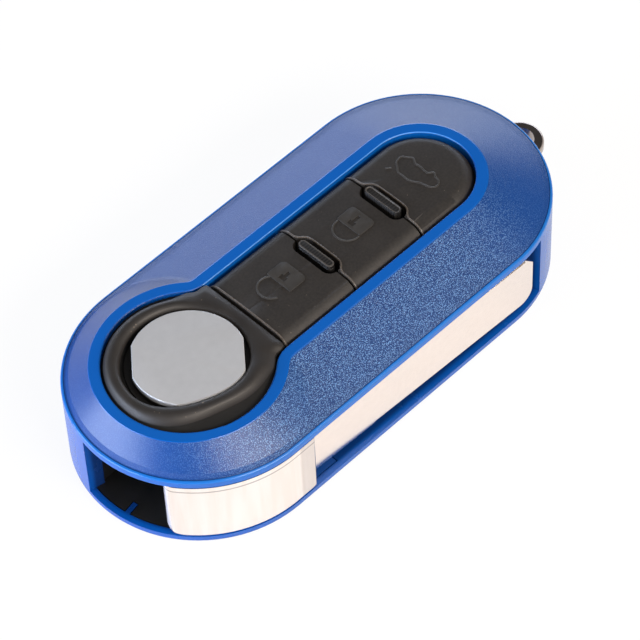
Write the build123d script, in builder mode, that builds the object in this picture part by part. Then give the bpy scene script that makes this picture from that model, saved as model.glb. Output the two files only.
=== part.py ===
from build123d import *
import math
import os

# Three-button flip key remote, closed, lying on its flat back.
# Origin: centre of the case outline on the back. +X: key-ring end. -X: blade pivot end.
# -Y: the long side where the folded blade lies in its slot. +Z: button side.
# Millimetres.

# Case outline: a stadium
CASE_LENGTH = 80.0
CASE_WIDTH = 37.0
CASE_RADIUS = CASE_WIDTH / 2
ARC_X = (CASE_LENGTH - CASE_WIDTH) / 2

# Heights above the back
BACK_FLOOR = 0.7
SLOT_FLOOR_Z = 1.2
PARTING_Z = 12.4
LIP_HEIGHT = 1.1
RIM_Z = 17.1
CROWN_Z = 17.6

# General fits
FIT = 0.15
SNUG_FIT = 0.05
BIG = 200.0
QUARTER = 90

# Rear shell
SHELL_WALL = 1.5
SLOT_LIP = 1.0
BACK_EDGE = 0.5
SLOT_START_ANGLE = 170.0
SLOT_END_ANGLE = -72.0
JAMB_DEPTH = 2.4
JAMB_ANGLE = 9.0
SLOT_BLOCK_ANGLE = 12.0
CHANNEL_DEPTH = 4.6
CHANNEL_WALL = 1.0
FLOOR_RIB_ANGLE = 190.0
FLOOR_RIB_WIDTH = 0.7
FLOOR_RIB_REACH = 2.9

# Front cover and its keyhole window
COVER_WALL = 1.8
COVER_LIP_WALL = 1.5
LIP_STEP = 0.35
LIP_ROUND = 0.35
RING_OFFSET = 1.5
RING_X = -ARC_X - RING_OFFSET
WINDOW_RING_RADIUS = 11.75
WINDOW_HALF_WIDTH = 7.8
WINDOW_NECK_RADIUS = 4.6
WINDOW_END_X = ARC_X
RIM_WIDTH = 1.6
RIM_ROUND = 0.25
CREASE_SHARE = 0.6

# Blade pivot
HINGE_OFFSET_X = 3.7
HINGE_INSET = 11.0
HINGE_X = -ARC_X - HINGE_OFFSET_X
HINGE_Y = -(CASE_RADIUS - HINGE_INSET)
OPEN_ANGLE = 178.0
PIN_RADIUS = 1.5
PIN_CLEARANCE = 0.06

# Flip head
HEAD_RADIUS = 13.0
HEAD_INSET = 0.1
HEAD_BOTTOM_GAP = 0.25
HEAD_TOP_GAP = 0.3
HEAD_BARREL_RADIUS = 6.2
HEAD_START_ANGLE = 182.5
HEAD_END_ANGLE = 304.2
HEAD_LOW_CORNER = 3.6
HEAD_LOW_CORNER_BLADE = 0.9
HEAD_EDGE_ROUND = 1.7
HEAD_SWEEP_GAP = 0.5
BEARING_HEIGHT = 1.2
SPRING_WIRE = 0.35
SPRING_COIL_RADIUS = 3.0
SPRING_TURNS = 4
SPRING_POCKET_RADIUS = 4.4
SPRING_POCKET_DEPTH = 7.6
SPRING_END_GAP = 0.3
COIL_WIRE_SIDES = 8
HEAD_BOTTOM_Z = SLOT_FLOOR_Z + HEAD_BOTTOM_GAP
HEAD_TOP_Z = PARTING_Z - HEAD_TOP_GAP

# Blade, a plain uncut strip on edge
BLADE_THICKNESS = 2.2
BLADE_WIDTH = 9.2
BLADE_TOP_GAP = 0.2
BLADE_SHOULDER = 0.25
BLADE_TIP_GAP = 1.13
BLADE_ROOT = 6.7
BLADE_SHOULDER_LENGTH = 12.0
BLADE_EDGE = 0.2
BLADE_SPLAY = 1.74
BLADE_COVER = 1.25
BLADE_TIP_ROUND = 2.6
BLADE_TIP_BEVEL = 1.6
BLADE_PIN_RADIUS = 0.7
BLADE_PIN_INSET = 3.6
BLADE_PIN_LENGTH = 4.2
BLADE_PIN_PROUD = 0.3

# Button lock: a flange with two notched teeth on the head, and a plunger with a lug
LOCK_FLANGE_RADIUS = 6.6
LOCK_FLANGE_THICKNESS = 0.9
LOCK_TOOTH_ANGLE = 10.5
LOCK_LUG_REACH = 1.9
LOCK_LUG_WIDTH = 0.8
LOCK_LUG_HEIGHT = 0.9
LOCK_NECK_RADIUS = 0.9
LOCK_SIDE_FIT = 0.1
LOCK_END_FIT = 0.2
LOCK_GAP = 0.1
RELEASE_TRAVEL = 1.2

# Release button
BUTTON_RADIUS = 7.95
BUTTON_FLAT = 7.5
BUTTON_FLAT_ANGLE = -41.5
BUTTON_TOP_Z = 17.9
BUTTON_TOP_WALL = 0.7
BUTTON_SKIRT_WALL = 1.3
BUTTON_FLANGE = 0.7
BUTTON_FLANGE_THICKNESS = 0.5
BUTTON_BOSS_RADIUS = 1.7
BUTTON_GAP = 0.15
BUTTON_LOW_Z = 15.7
BUTTON_EDGE_ROUND = 0.15
RELEASE_SPRING_RADIUS = 2.8
RELEASE_SPRING_WIRE = 0.2
RELEASE_SPRING_TURNS = 3

# Bezel round the release button
BEZEL_CREST_RADIUS = 9.2
BEZEL_SHIFT_X = -1.0
BEZEL_SHIFT_Y = 0.3
BEZEL_FOOT_RADIUS = 10.5
BEZEL_CREST_Z = 18.2
BEZEL_SHOULDER_Z = 15.9
BEZEL_FLANGE = 0.75
BEZEL_FLANGE_THICKNESS = 0.7
BEZEL_FLAT = 7.0
BEZEL_SINK = 0.5
BEZEL_LIP_Z = 17.2
BEZEL_INNER_CURVE = 1.5
BEZEL_OUTER_CURVE = 2.4

# Keypad frame
CEILING_THICKNESS = 0.8
CEILING_FIT = 0.4
FRAME_THICKNESS = 0.8
RING_PLATE_THICKNESS = 0.6
RING_HOUSING_RADIUS = 13.2
RING_HOUSING_WALL = 1.6
RING_CAVITY_HEIGHT = 0.6
FRAME_WALL = 0.9
BAR_WIDTH = 1.4
BAR_LENGTH = 6.4
BAR_TOP_Z = 17.5
BAR_ROUND = 0.3

# Keys
KEYPAD_START = 10.8
UNLOCK_LENGTH = 13.4
LOCK_LENGTH = 13.0
SEAM_GAP = 0.3
KEY_FLANGE = 0.8
KEY_FLANGE_THICKNESS = 1.2
KEY_TRAVEL = 0.5
KEY_STOP_GAP = 0.2
KEY_EDGE_DROP = 0.35
KEY_SHOULDER = 1.3
RIDGE_WIDTH = 0.3
RIDGE_HEIGHT = 0.12
PILL_MARGIN = 0.75
KEY_NAMES = ("unlock", "lock", "trunk")

# Electronics
BAY_FLOOR_Z = 1.5
BOARD_Z = 8.6
BOARD_THICKNESS = 1.0
BOARD_GAP = 0.3
CELL_RADIUS = 10.0
CELL_THICKNESS = 3.2
CELL_EDGE = 0.3
CHASSIS_WALL = 0.9
WEB_THICKNESS = 1.7
CELL_Z = 3.0
CELL_SEAT_WALL = 0.9
CELL_SEAT_HEIGHT = 3.0
CELL_FIT = 0.3
CONTACT_THICKNESS = 0.3
CONTACT_WIDTH = 4.0
SWITCH_SIDE = 4.5
SWITCH_HEIGHT = 1.4
SWITCH_STEM_RADIUS = 1.1
SWITCH_STEM_HEIGHT = 0.4
SWITCH_CORNER = 0.4
MEMBRANE_THICKNESS = 0.6
MEMBRANE_HALF_WIDTH = 7.0
MEMBRANE_BOSS_RADIUS = 2.4
MEMBRANE_NUB_RADIUS = 1.4
MEMBRANE_MARGIN = 4.0
MEMBRANE_CORNER = 2.0
POST_RADIUS = 1.6
POST_MARGIN = 2.5
SCREW_RADIUS = 0.7
SCREW_HEAD_RADIUS = 1.3
SCREW_HEAD_HEIGHT = 0.8
SCREW_DEPTH = 4.5
CHIP_LENGTH = 12.0
CHIP_WIDTH = 6.0
CHIP_THICKNESS = 3.0
CHIP_OFFSET_X = 0.5
CHIP_INSET = 7.3
CHIP_BEVEL = 0.5
CONTROL_SIDE = 5.0
CONTROL_HEIGHT = 0.9
CRYSTAL_SIZE = (3.2, 2.5, 0.8)
COIL_SIDE = 7.0
COIL_HEIGHT = 1.8
RESISTOR_SIZE = (1.6, 0.8, 0.5)
CHIP_ROW_INSET = 5.55
CHIP_EDGE = 0.2

# Key-ring eye
EYE_RADIUS = 3.5
EYE_HOLE_RADIUS = 2.1
EYE_THICKNESS = 2.0
EYE_Z = 6.4
EYE_REACH = 5.7
SHANK_WIDTH = 3.8
SHANK_FIT = 0.1
LOOP_PIN_RADIUS = 0.85
LOOP_PIN_HEIGHT = 7.0
LOOP_PIN_INSET = 4.4
LOOP_PIN_WALL = 3.0
LOOP_PIN_DROP = 1.4
SHANK_END = 2.0
EYE_EDGE = 0.6


# Places that several pieces share
CEILING_TOP_Z = PARTING_Z + CEILING_THICKNESS
RING_PLATE_TOP_Z = CEILING_TOP_Z + RING_CAVITY_HEIGHT + RING_PLATE_THICKNESS
LOCK_DISTANCE = math.hypot(RING_X - HINGE_X, HINGE_Y)
LOCK_ANGLE = math.degrees(math.atan2(-HINGE_Y, RING_X - HINGE_X))
LOCK_FLANGE_Z = HEAD_TOP_Z + LOCK_GAP
LOCK_LUG_Z = LOCK_FLANGE_Z + LOCK_GAP
LOCK_HUB_RADIUS = LOCK_DISTANCE - LOCK_LUG_REACH - LOCK_END_FIT
GROOVE_Z = LOCK_LUG_Z - RELEASE_TRAVEL - LOCK_GAP
OUTER_RING = WINDOW_RING_RADIUS + RIM_WIDTH
CREASE_ROUND = CREASE_SHARE * (CASE_RADIUS - OUTER_RING)
OUTER_HALF = WINDOW_HALF_WIDTH + RIM_WIDTH
RIM_UNDERSIDE_Z = RIM_Z - COVER_WALL
HOLLOW_RUN = (CASE_RADIUS - COVER_LIP_WALL - OUTER_HALF) / (RIM_UNDERSIDE_Z - PARTING_Z)
CEILING_INSET = COVER_LIP_WALL + CEILING_THICKNESS * HOLLOW_RUN + CEILING_FIT
CHANNEL_Y = -(CASE_RADIUS - CHANNEL_DEPTH)
CHANNEL_BACK_Y = CHANNEL_Y + CHANNEL_WALL
CAVITY_RADIUS = HEAD_RADIUS + HEAD_SWEEP_GAP
CHANNEL_START_X = HINGE_X + math.sqrt(CAVITY_RADIUS**2 - (CHANNEL_Y - HINGE_Y) ** 2) + FIT
CAVITY_SIDE_Y = CASE_RADIUS * math.sin(math.radians(180 - SLOT_START_ANGLE))
CASE_END_X = ARC_X + CASE_RADIUS
LOOP_PIN_X = CASE_END_X - LOOP_PIN_INSET
EYE_X = CASE_END_X + EYE_REACH - EYE_RADIUS
CHIP_X = -ARC_X + CHIP_OFFSET_X
CHIP_Y = CASE_RADIUS - CHIP_INSET
SEAM_X = (
    RING_X + KEYPAD_START,
    RING_X + KEYPAD_START + UNLOCK_LENGTH,
    RING_X + KEYPAD_START + UNLOCK_LENGTH + LOCK_LENGTH,
)
KEY_X = ((SEAM_X[0] + SEAM_X[1]) / 2, (SEAM_X[1] + SEAM_X[2]) / 2, WINDOW_END_X)
SPLIT_X = SEAM_X[0] - FRAME_WALL
KEY_LOW_Z = CEILING_TOP_Z + KEY_TRAVEL + KEY_STOP_GAP
BAY_LOW_X = HINGE_X + CAVITY_RADIUS + WEB_THICKNESS
BAY_HIGH_X = LOOP_PIN_X - LOOP_PIN_WALL
BAY_LOW_Y = CHANNEL_BACK_Y + FIT + CHASSIS_WALL
BAY_HIGH_Y = CASE_RADIUS - CEILING_INSET - CHASSIS_WALL
BAY_X = (BAY_LOW_X + BAY_HIGH_X) / 2
BAY_Y = (BAY_LOW_Y + BAY_HIGH_Y) / 2
CHIP_ROW_HIGH_Y = BAY_HIGH_Y - CHIP_ROW_INSET
CHIP_ROW_LOW_Y = BAY_LOW_Y + CHIP_ROW_INSET
BOARD_TOP_Z = BOARD_Z + BOARD_THICKNESS
SWITCH_TOP_Z = BOARD_TOP_Z + SWITCH_HEIGHT + SWITCH_STEM_HEIGHT
POSTS = (
    (BAY_LOW_X + POST_MARGIN, BAY_LOW_Y + POST_MARGIN),
    (BAY_LOW_X + POST_MARGIN, BAY_HIGH_Y - POST_MARGIN),
    (BAY_HIGH_X - 2 * POST_MARGIN, BAY_LOW_Y + POST_MARGIN),
    (BAY_HIGH_X - 2 * POST_MARGIN, BAY_HIGH_Y - POST_MARGIN),
)
SCREWED_POSTS = (POSTS[1], POSTS[2])


def polar(x, y, radius, angle):
    turn = math.radians(angle)
    return (x + radius * math.cos(turn), y + radius * math.sin(turn))


def level(height):
    return Plane.XY.offset(height)


def quarters(x, radius, start, count):
    """Quarter arcs about a point of the long axis, anticlockwise from a start angle."""
    for turn in range(count):
        CenterArc((x, 0), radius, start + QUARTER * turn, QUARTER)


def stadium(inset, mode=Mode.ADD):
    """The case outline, smaller by an inset."""
    SlotOverall(CASE_LENGTH - 2 * inset, CASE_WIDTH - 2 * inset, mode=mode)


def disc(x, y, radius, mode=Mode.ADD):
    with Locations((x, y)):
        Circle(radius, mode=mode)


def band(low_x, high_x, low_y=-BIG, high_y=BIG, mode=Mode.ADD):
    """A rectangle given by its limits."""
    with Locations(((low_x + high_x) / 2, (low_y + high_y) / 2)):
        Rectangle(high_x - low_x, high_y - low_y, mode=mode)


def wedge(x, y, start, end, mode=Mode.ADD):
    """A sector with its tip at x, y, larger than the part."""
    far = polar(x, y, 2 * BIG, (start + end) / 2)
    Polygon((x, y), polar(x, y, BIG, start), far, polar(x, y, BIG, end), align=None, mode=mode)


def slot_zone(mode=Mode.ADD):
    """Where the case side is open for the blade, as seen from above."""
    left = polar(-ARC_X, 0, BIG, SLOT_START_ANGLE)
    right = polar(ARC_X, 0, BIG, SLOT_END_ANGLE)
    Polygon((-ARC_X, 0), left, (-BIG, -BIG), (0, -BIG), right, (ARC_X, 0), align=None, mode=mode)


def jamb(gap, mode=Mode.ADD):
    """The thickened end of the side wall beside the pivot, larger by a gap."""
    with BuildSketch(mode=Mode.PRIVATE) as corner:
        stadium(0)
        stadium(JAMB_DEPTH + gap, mode=Mode.SUBTRACT)
        spread = math.degrees(gap / CASE_RADIUS)
        wedge(-ARC_X, 0, SLOT_START_ANGLE - JAMB_ANGLE - spread, SLOT_START_ANGLE, mode=Mode.INTERSECT)
    add(corner.sketch, mode=mode)


def floor_rib(gap, mode=Mode.ADD):
    """The short radial rib on the slot floor, larger by a gap."""
    inner = CASE_RADIUS - FLOOR_RIB_REACH - gap
    outer = CASE_RADIUS - SLOT_LIP / 2
    with Locations(polar(-ARC_X, 0, (inner + outer) / 2, FLOOR_RIB_ANGLE)):
        Rectangle(outer - inner, FLOOR_RIB_WIDTH + 2 * gap, rotation=FLOOR_RIB_ANGLE, mode=mode)


def neck_points(ring_radius, half_width, neck_radius):
    """Where the ring, the concave corner and the straight side of a keyhole meet."""
    reach = ring_radius + neck_radius
    centre_y = half_width + neck_radius
    centre_x = RING_X + math.sqrt(reach**2 - centre_y**2)
    share = ring_radius / reach
    on_ring = (RING_X + (centre_x - RING_X) * share, centre_y * share)
    slant = math.degrees(math.atan2(-centre_y, RING_X - centre_x))
    middle = polar(centre_x, centre_y, neck_radius, (slant - 90) / 2)
    return on_ring, middle, (centre_x, half_width)


def keyhole(ring_radius, half_width, neck_radius, end_x):
    """The outline of a ring joined to a straight slot with a round end."""
    on_ring, middle, on_side = neck_points(ring_radius, half_width, neck_radius)
    lean = math.degrees(math.atan2(on_ring[1], on_ring[0] - RING_X))
    shoulder = polar(RING_X, 0, ring_radius, (90 + lean) / 2)
    quarters(RING_X, ring_radius, 90, 2)
    ThreePointArc((RING_X, -ring_radius), (shoulder[0], -shoulder[1]), (on_ring[0], -on_ring[1]))
    ThreePointArc((on_ring[0], -on_ring[1]), (middle[0], -middle[1]), (on_side[0], -on_side[1]))
    Line((on_side[0], -on_side[1]), (end_x, -half_width))
    quarters(end_x, half_width, -90, 2)
    Line((end_x, half_width), on_side)
    ThreePointArc(on_side, middle, on_ring)
    ThreePointArc(on_ring, shoulder, (RING_X, ring_radius))


def slope(low_z, inset, high_z, mode=Mode.ADD):
    """The sloping body of the cover: a roof, a cone at its far end and a skew cone under the ring."""
    side = CASE_RADIUS - inset
    with BuildSketch(Plane.YZ.offset(-ARC_X), mode=Mode.PRIVATE) as roof:
        Polygon((-side, low_z), (side, low_z), (OUTER_HALF, high_z), (-OUTER_HALF, high_z), align=None)
    extrude(roof.sketch, amount=2 * ARC_X, mode=mode)
    with BuildSketch(Plane.XZ, mode=Mode.PRIVATE) as cone:
        far_x = ARC_X + side
        Polygon((ARC_X, low_z), (far_x, low_z), (ARC_X + OUTER_HALF, high_z), (ARC_X, high_z), align=None)
    revolve(cone.sketch, axis=Axis((ARC_X, 0, 0), (0, 0, 1)), mode=mode)
    with BuildSketch(level(low_z), mode=Mode.PRIVATE) as foot:
        disc(-ARC_X, 0, side)
    with BuildSketch(level(high_z), mode=Mode.PRIVATE) as top:
        disc(RING_X, 0, OUTER_RING)
    loft(sections=[foot.sketch, top.sketch], ruled=True, mode=mode)


def window(gap, mode=Mode.ADD):
    """The keyhole window, smaller by a gap all round."""
    with BuildSketch(mode=Mode.PRIVATE) as opening:
        with BuildLine():
            keyhole(WINDOW_RING_RADIUS - gap, WINDOW_HALF_WIDTH - gap, WINDOW_NECK_RADIUS + gap, WINDOW_END_X)
        make_face()
    add(opening.sketch, mode=mode)


def bay(inset, mode=Mode.ADD):
    """The room for the electronics, smaller by an inset."""
    with BuildSketch(mode=Mode.PRIVATE) as room:
        band(BAY_LOW_X + inset, BAY_HIGH_X - inset, BAY_LOW_Y + inset, BAY_HIGH_Y - inset)
        stadium(SHELL_WALL + FIT + CHASSIS_WALL + inset, mode=Mode.INTERSECT)
    add(room.sketch, mode=mode)


def eye_plan(gap):
    """The key-ring eye and its shank from above, larger by a gap."""
    disc(EYE_X, 0, EYE_RADIUS + gap)
    band(LOOP_PIN_X - SHANK_END - gap, EYE_X, -SHANK_WIDTH / 2 - gap, SHANK_WIDTH / 2 + gap)


# Front cover: a lip, a slope up to the flat rim, a hollow underside and the window
with BuildPart() as front_cover:
    with BuildSketch(level(PARTING_Z)):
        stadium(0)
    extrude(amount=LIP_HEIGHT)
    fillet(front_cover.faces().sort_by(Axis.Z)[-1].edges(), LIP_ROUND)
    slope(PARTING_Z + LIP_HEIGHT - LIP_STEP, LIP_STEP, RIM_Z)
    fillet(front_cover.edges().filter_by(GeomType.BSPLINE).sort_by(Axis.Z)[-2:], CREASE_ROUND)
    slope(PARTING_Z, COVER_LIP_WALL, RIM_UNDERSIDE_Z, mode=Mode.SUBTRACT)
    with BuildSketch(level(PARTING_Z)):
        window(0)
    extrude(amount=RIM_Z, mode=Mode.SUBTRACT)
    fillet(front_cover.faces().sort_by(Axis.Z)[-1].inner_wires()[0].edges(), RIM_ROUND)
front_cover.part.label = "front_cover"

# Rear shell: a shallow tray whose side is open for the blade
with BuildPart() as rear_shell:
    with BuildSketch(Plane.XY):
        stadium(0)
    extrude(amount=SLOT_FLOOR_Z)
    fillet(rear_shell.faces().sort_by(Axis.Z)[0].edges(), BACK_EDGE)
    # the seat of the inner chassis
    with BuildSketch(level(BACK_FLOOR)):
        stadium(SHELL_WALL)
        band(CHANNEL_START_X, BIG, -BIG, CHANNEL_BACK_Y, mode=Mode.SUBTRACT)
    extrude(amount=SLOT_FLOOR_Z, mode=Mode.SUBTRACT)
    with BuildSketch(level(BACK_FLOOR)):
        stadium(SLOT_LIP)
        slot_zone(mode=Mode.INTERSECT)
        band(-BIG, CHANNEL_START_X, mode=Mode.INTERSECT)
    extrude(amount=SLOT_FLOOR_Z, mode=Mode.SUBTRACT)
    with BuildSketch(level(BACK_FLOOR)):
        floor_rib(0)
    extrude(amount=SLOT_FLOOR_Z - BACK_FLOOR)
    # the side wall, from the end of the slot round to its start
    with BuildSketch(level(SLOT_FLOOR_Z)):
        stadium(0)
        stadium(SHELL_WALL, mode=Mode.SUBTRACT)
        slot_zone(mode=Mode.SUBTRACT)
    extrude(amount=PARTING_Z - SLOT_FLOOR_Z)
    with BuildSketch(level(BACK_FLOOR)):
        jamb(0)
        stadium(SLOT_LIP / 2, mode=Mode.INTERSECT)
    extrude(amount=PARTING_Z - BACK_FLOOR)
    # the wall behind the blade and the block that ends the slot
    with BuildSketch(level(SLOT_FLOOR_Z)):
        wedge(ARC_X, 0, SLOT_END_ANGLE, SLOT_END_ANGLE + SLOT_BLOCK_ANGLE)
        band(-BIG, BIG, -BIG, CHANNEL_BACK_Y, mode=Mode.INTERSECT)
        band(CHANNEL_START_X, ARC_X + CHANNEL_DEPTH, CHANNEL_Y, CHANNEL_BACK_Y)
        stadium(0, mode=Mode.INTERSECT)
    extrude(amount=PARTING_Z - SLOT_FLOOR_Z)
    # the way out of the key-ring eye
    with BuildSketch(level(EYE_Z - EYE_THICKNESS / 2 - SHANK_FIT)):
        eye_plan(SHANK_FIT)
    extrude(amount=EYE_THICKNESS + 2 * SHANK_FIT, mode=Mode.SUBTRACT)
rear_shell.part.label = "rear_shell"

# Inner chassis: carries the pivot, the ceiling over the flip head and the electronics
with BuildPart() as inner_chassis:
    with BuildSketch(level(BACK_FLOOR)):
        stadium(SHELL_WALL + FIT)
        band(CHANNEL_START_X - FIT, BIG, -BIG, CHANNEL_BACK_Y + FIT, mode=Mode.SUBTRACT)
    extrude(amount=PARTING_Z - BACK_FLOOR)
    with BuildSketch(level(BACK_FLOOR)):
        stadium(SLOT_LIP + FIT)
        slot_zone(mode=Mode.INTERSECT)
        band(-BIG, CHANNEL_START_X - FIT, mode=Mode.INTERSECT)
    extrude(amount=SLOT_FLOOR_Z - BACK_FLOOR)
    # the round room in which the head turns, open to the slot
    with BuildSketch(level(SLOT_FLOOR_Z)):
        disc(HINGE_X, HINGE_Y, CAVITY_RADIUS)
        band(-BIG, HINGE_X, -BIG, CAVITY_SIDE_Y)
        band(-BIG, CHANNEL_START_X, -BIG, CHANNEL_BACK_Y)
    extrude(amount=PARTING_Z, mode=Mode.SUBTRACT)
    with BuildSketch(level(0)):
        jamb(FIT)
        floor_rib(FIT)
    extrude(amount=PARTING_Z, mode=Mode.SUBTRACT)
    # the room for the electronics with the cell seat and the board posts
    with BuildSketch(level(BAY_FLOOR_Z)):
        bay(0)
    extrude(amount=PARTING_Z, mode=Mode.SUBTRACT)
    with BuildSketch(level(BAY_FLOOR_Z)):
        disc(BAY_X, BAY_Y, CELL_RADIUS + CELL_FIT + CELL_SEAT_WALL)
        disc(BAY_X, BAY_Y, CELL_RADIUS + CELL_FIT, mode=Mode.SUBTRACT)
        band(BAY_X - CONTACT_WIDTH, BAY_X + CONTACT_WIDTH, mode=Mode.SUBTRACT)
        band(-BIG, BIG, BAY_Y - CONTACT_WIDTH, BAY_Y + CONTACT_WIDTH, mode=Mode.SUBTRACT)
    extrude(amount=CELL_SEAT_HEIGHT)
    with BuildSketch(level(BAY_FLOOR_Z)):
        with Locations(*POSTS):
            Circle(POST_RADIUS)
    extrude(amount=BOARD_Z - BAY_FLOOR_Z)
    with BuildSketch(level(BOARD_Z - SCREW_DEPTH)):
        with Locations(*SCREWED_POSTS):
            Circle(SCREW_RADIUS + SNUG_FIT)
    extrude(amount=SCREW_DEPTH, mode=Mode.SUBTRACT)
    # the ceiling over the head, with its openings for the lock flange and the plunger
    with BuildSketch(level(PARTING_Z)):
        stadium(CEILING_INSET)
        band(-BIG, SPLIT_X - FIT, mode=Mode.INTERSECT)
        disc(HINGE_X, HINGE_Y, LOCK_FLANGE_RADIUS + LOCK_END_FIT + FIT, mode=Mode.SUBTRACT)
        disc(RING_X, 0, LOCK_LUG_REACH + FIT, mode=Mode.SUBTRACT)
    extrude(amount=CEILING_THICKNESS)
    # the lower bearing of the head, round the hinge pin
    with BuildSketch(level(SLOT_FLOOR_Z)):
        disc(HINGE_X, HINGE_Y, SPRING_POCKET_RADIUS - FIT)
    extrude(amount=BEARING_HEIGHT)
    with BuildSketch(level(0)):
        disc(HINGE_X, HINGE_Y, PIN_RADIUS + PIN_CLEARANCE)
    extrude(amount=PARTING_Z, mode=Mode.SUBTRACT)
    # the pocket of the transponder chip
    with BuildSketch(level(CEILING_TOP_Z - CHIP_THICKNESS - FIT)):
        with Locations((CHIP_X, CHIP_Y)):
            Rectangle(CHIP_LENGTH + 2 * FIT, CHIP_WIDTH + 2 * FIT)
    extrude(amount=PARTING_Z, mode=Mode.SUBTRACT)
    # the seat of the key-ring eye and its pin
    with BuildSketch(level(EYE_Z - EYE_THICKNESS / 2 - SHANK_FIT)):
        eye_plan(SHANK_FIT)
    extrude(amount=EYE_THICKNESS + 2 * SHANK_FIT, mode=Mode.SUBTRACT)
    with BuildSketch(level(PARTING_Z - LOOP_PIN_HEIGHT - LOOP_PIN_DROP)):
        disc(LOOP_PIN_X, 0, LOOP_PIN_RADIUS + PIN_CLEARANCE)
    extrude(amount=PARTING_Z, mode=Mode.SUBTRACT)
inner_chassis.part.label = "inner_chassis"

# Flip head: a cast wedge flush with the case side, turning on its barrel
BLADE_DIRECTION = Vector(math.cos(math.radians(BLADE_SPLAY)), -math.sin(math.radians(BLADE_SPLAY)), 0)
BLADE_INWARD = Vector(math.sin(math.radians(BLADE_SPLAY)), math.cos(math.radians(BLADE_SPLAY)), 0)
HEAD_END = polar(HINGE_X, HINGE_Y, HEAD_RADIUS, HEAD_END_ANGLE)
BLADE_START = Vector(HEAD_END[0], -CASE_RADIUS + HEAD_INSET + BLADE_COVER, 0)
BLADE_LOW_Z = HEAD_TOP_Z - BLADE_TOP_GAP - BLADE_WIDTH
BLADE_SIDE = Plane(origin=BLADE_START, x_dir=BLADE_DIRECTION, z_dir=-BLADE_INWARD)
BLADE_PIN_Z = BLADE_LOW_Z + BLADE_WIDTH / 2
SLOT_END_X = ARC_X + CHANNEL_Y / math.tan(math.radians(SLOT_END_ANGLE))
BLADE_LENGTH = (SLOT_END_X - BLADE_TIP_GAP - BLADE_START.X) / BLADE_DIRECTION.X


def round_low_corner(angle, side, radius):
    """Rounds the foot of an end face of the head, which lies anticlockwise of it if side is 1."""
    along = Vector(*polar(0, 0, 1, angle))
    inward = Vector(*polar(0, 0, 1, angle + 90 * side))
    foot = Plane(origin=(HINGE_X, HINGE_Y, HEAD_BOTTOM_Z), x_dir=inward, z_dir=along * side)
    with BuildSketch(foot, mode=Mode.PRIVATE) as corner:
        with Locations((radius / 2, radius / 2)):
            Rectangle(radius, radius)
        disc(radius, radius, radius, mode=Mode.SUBTRACT)
    extrude(corner.sketch, amount=side * BIG, mode=Mode.SUBTRACT)


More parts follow.
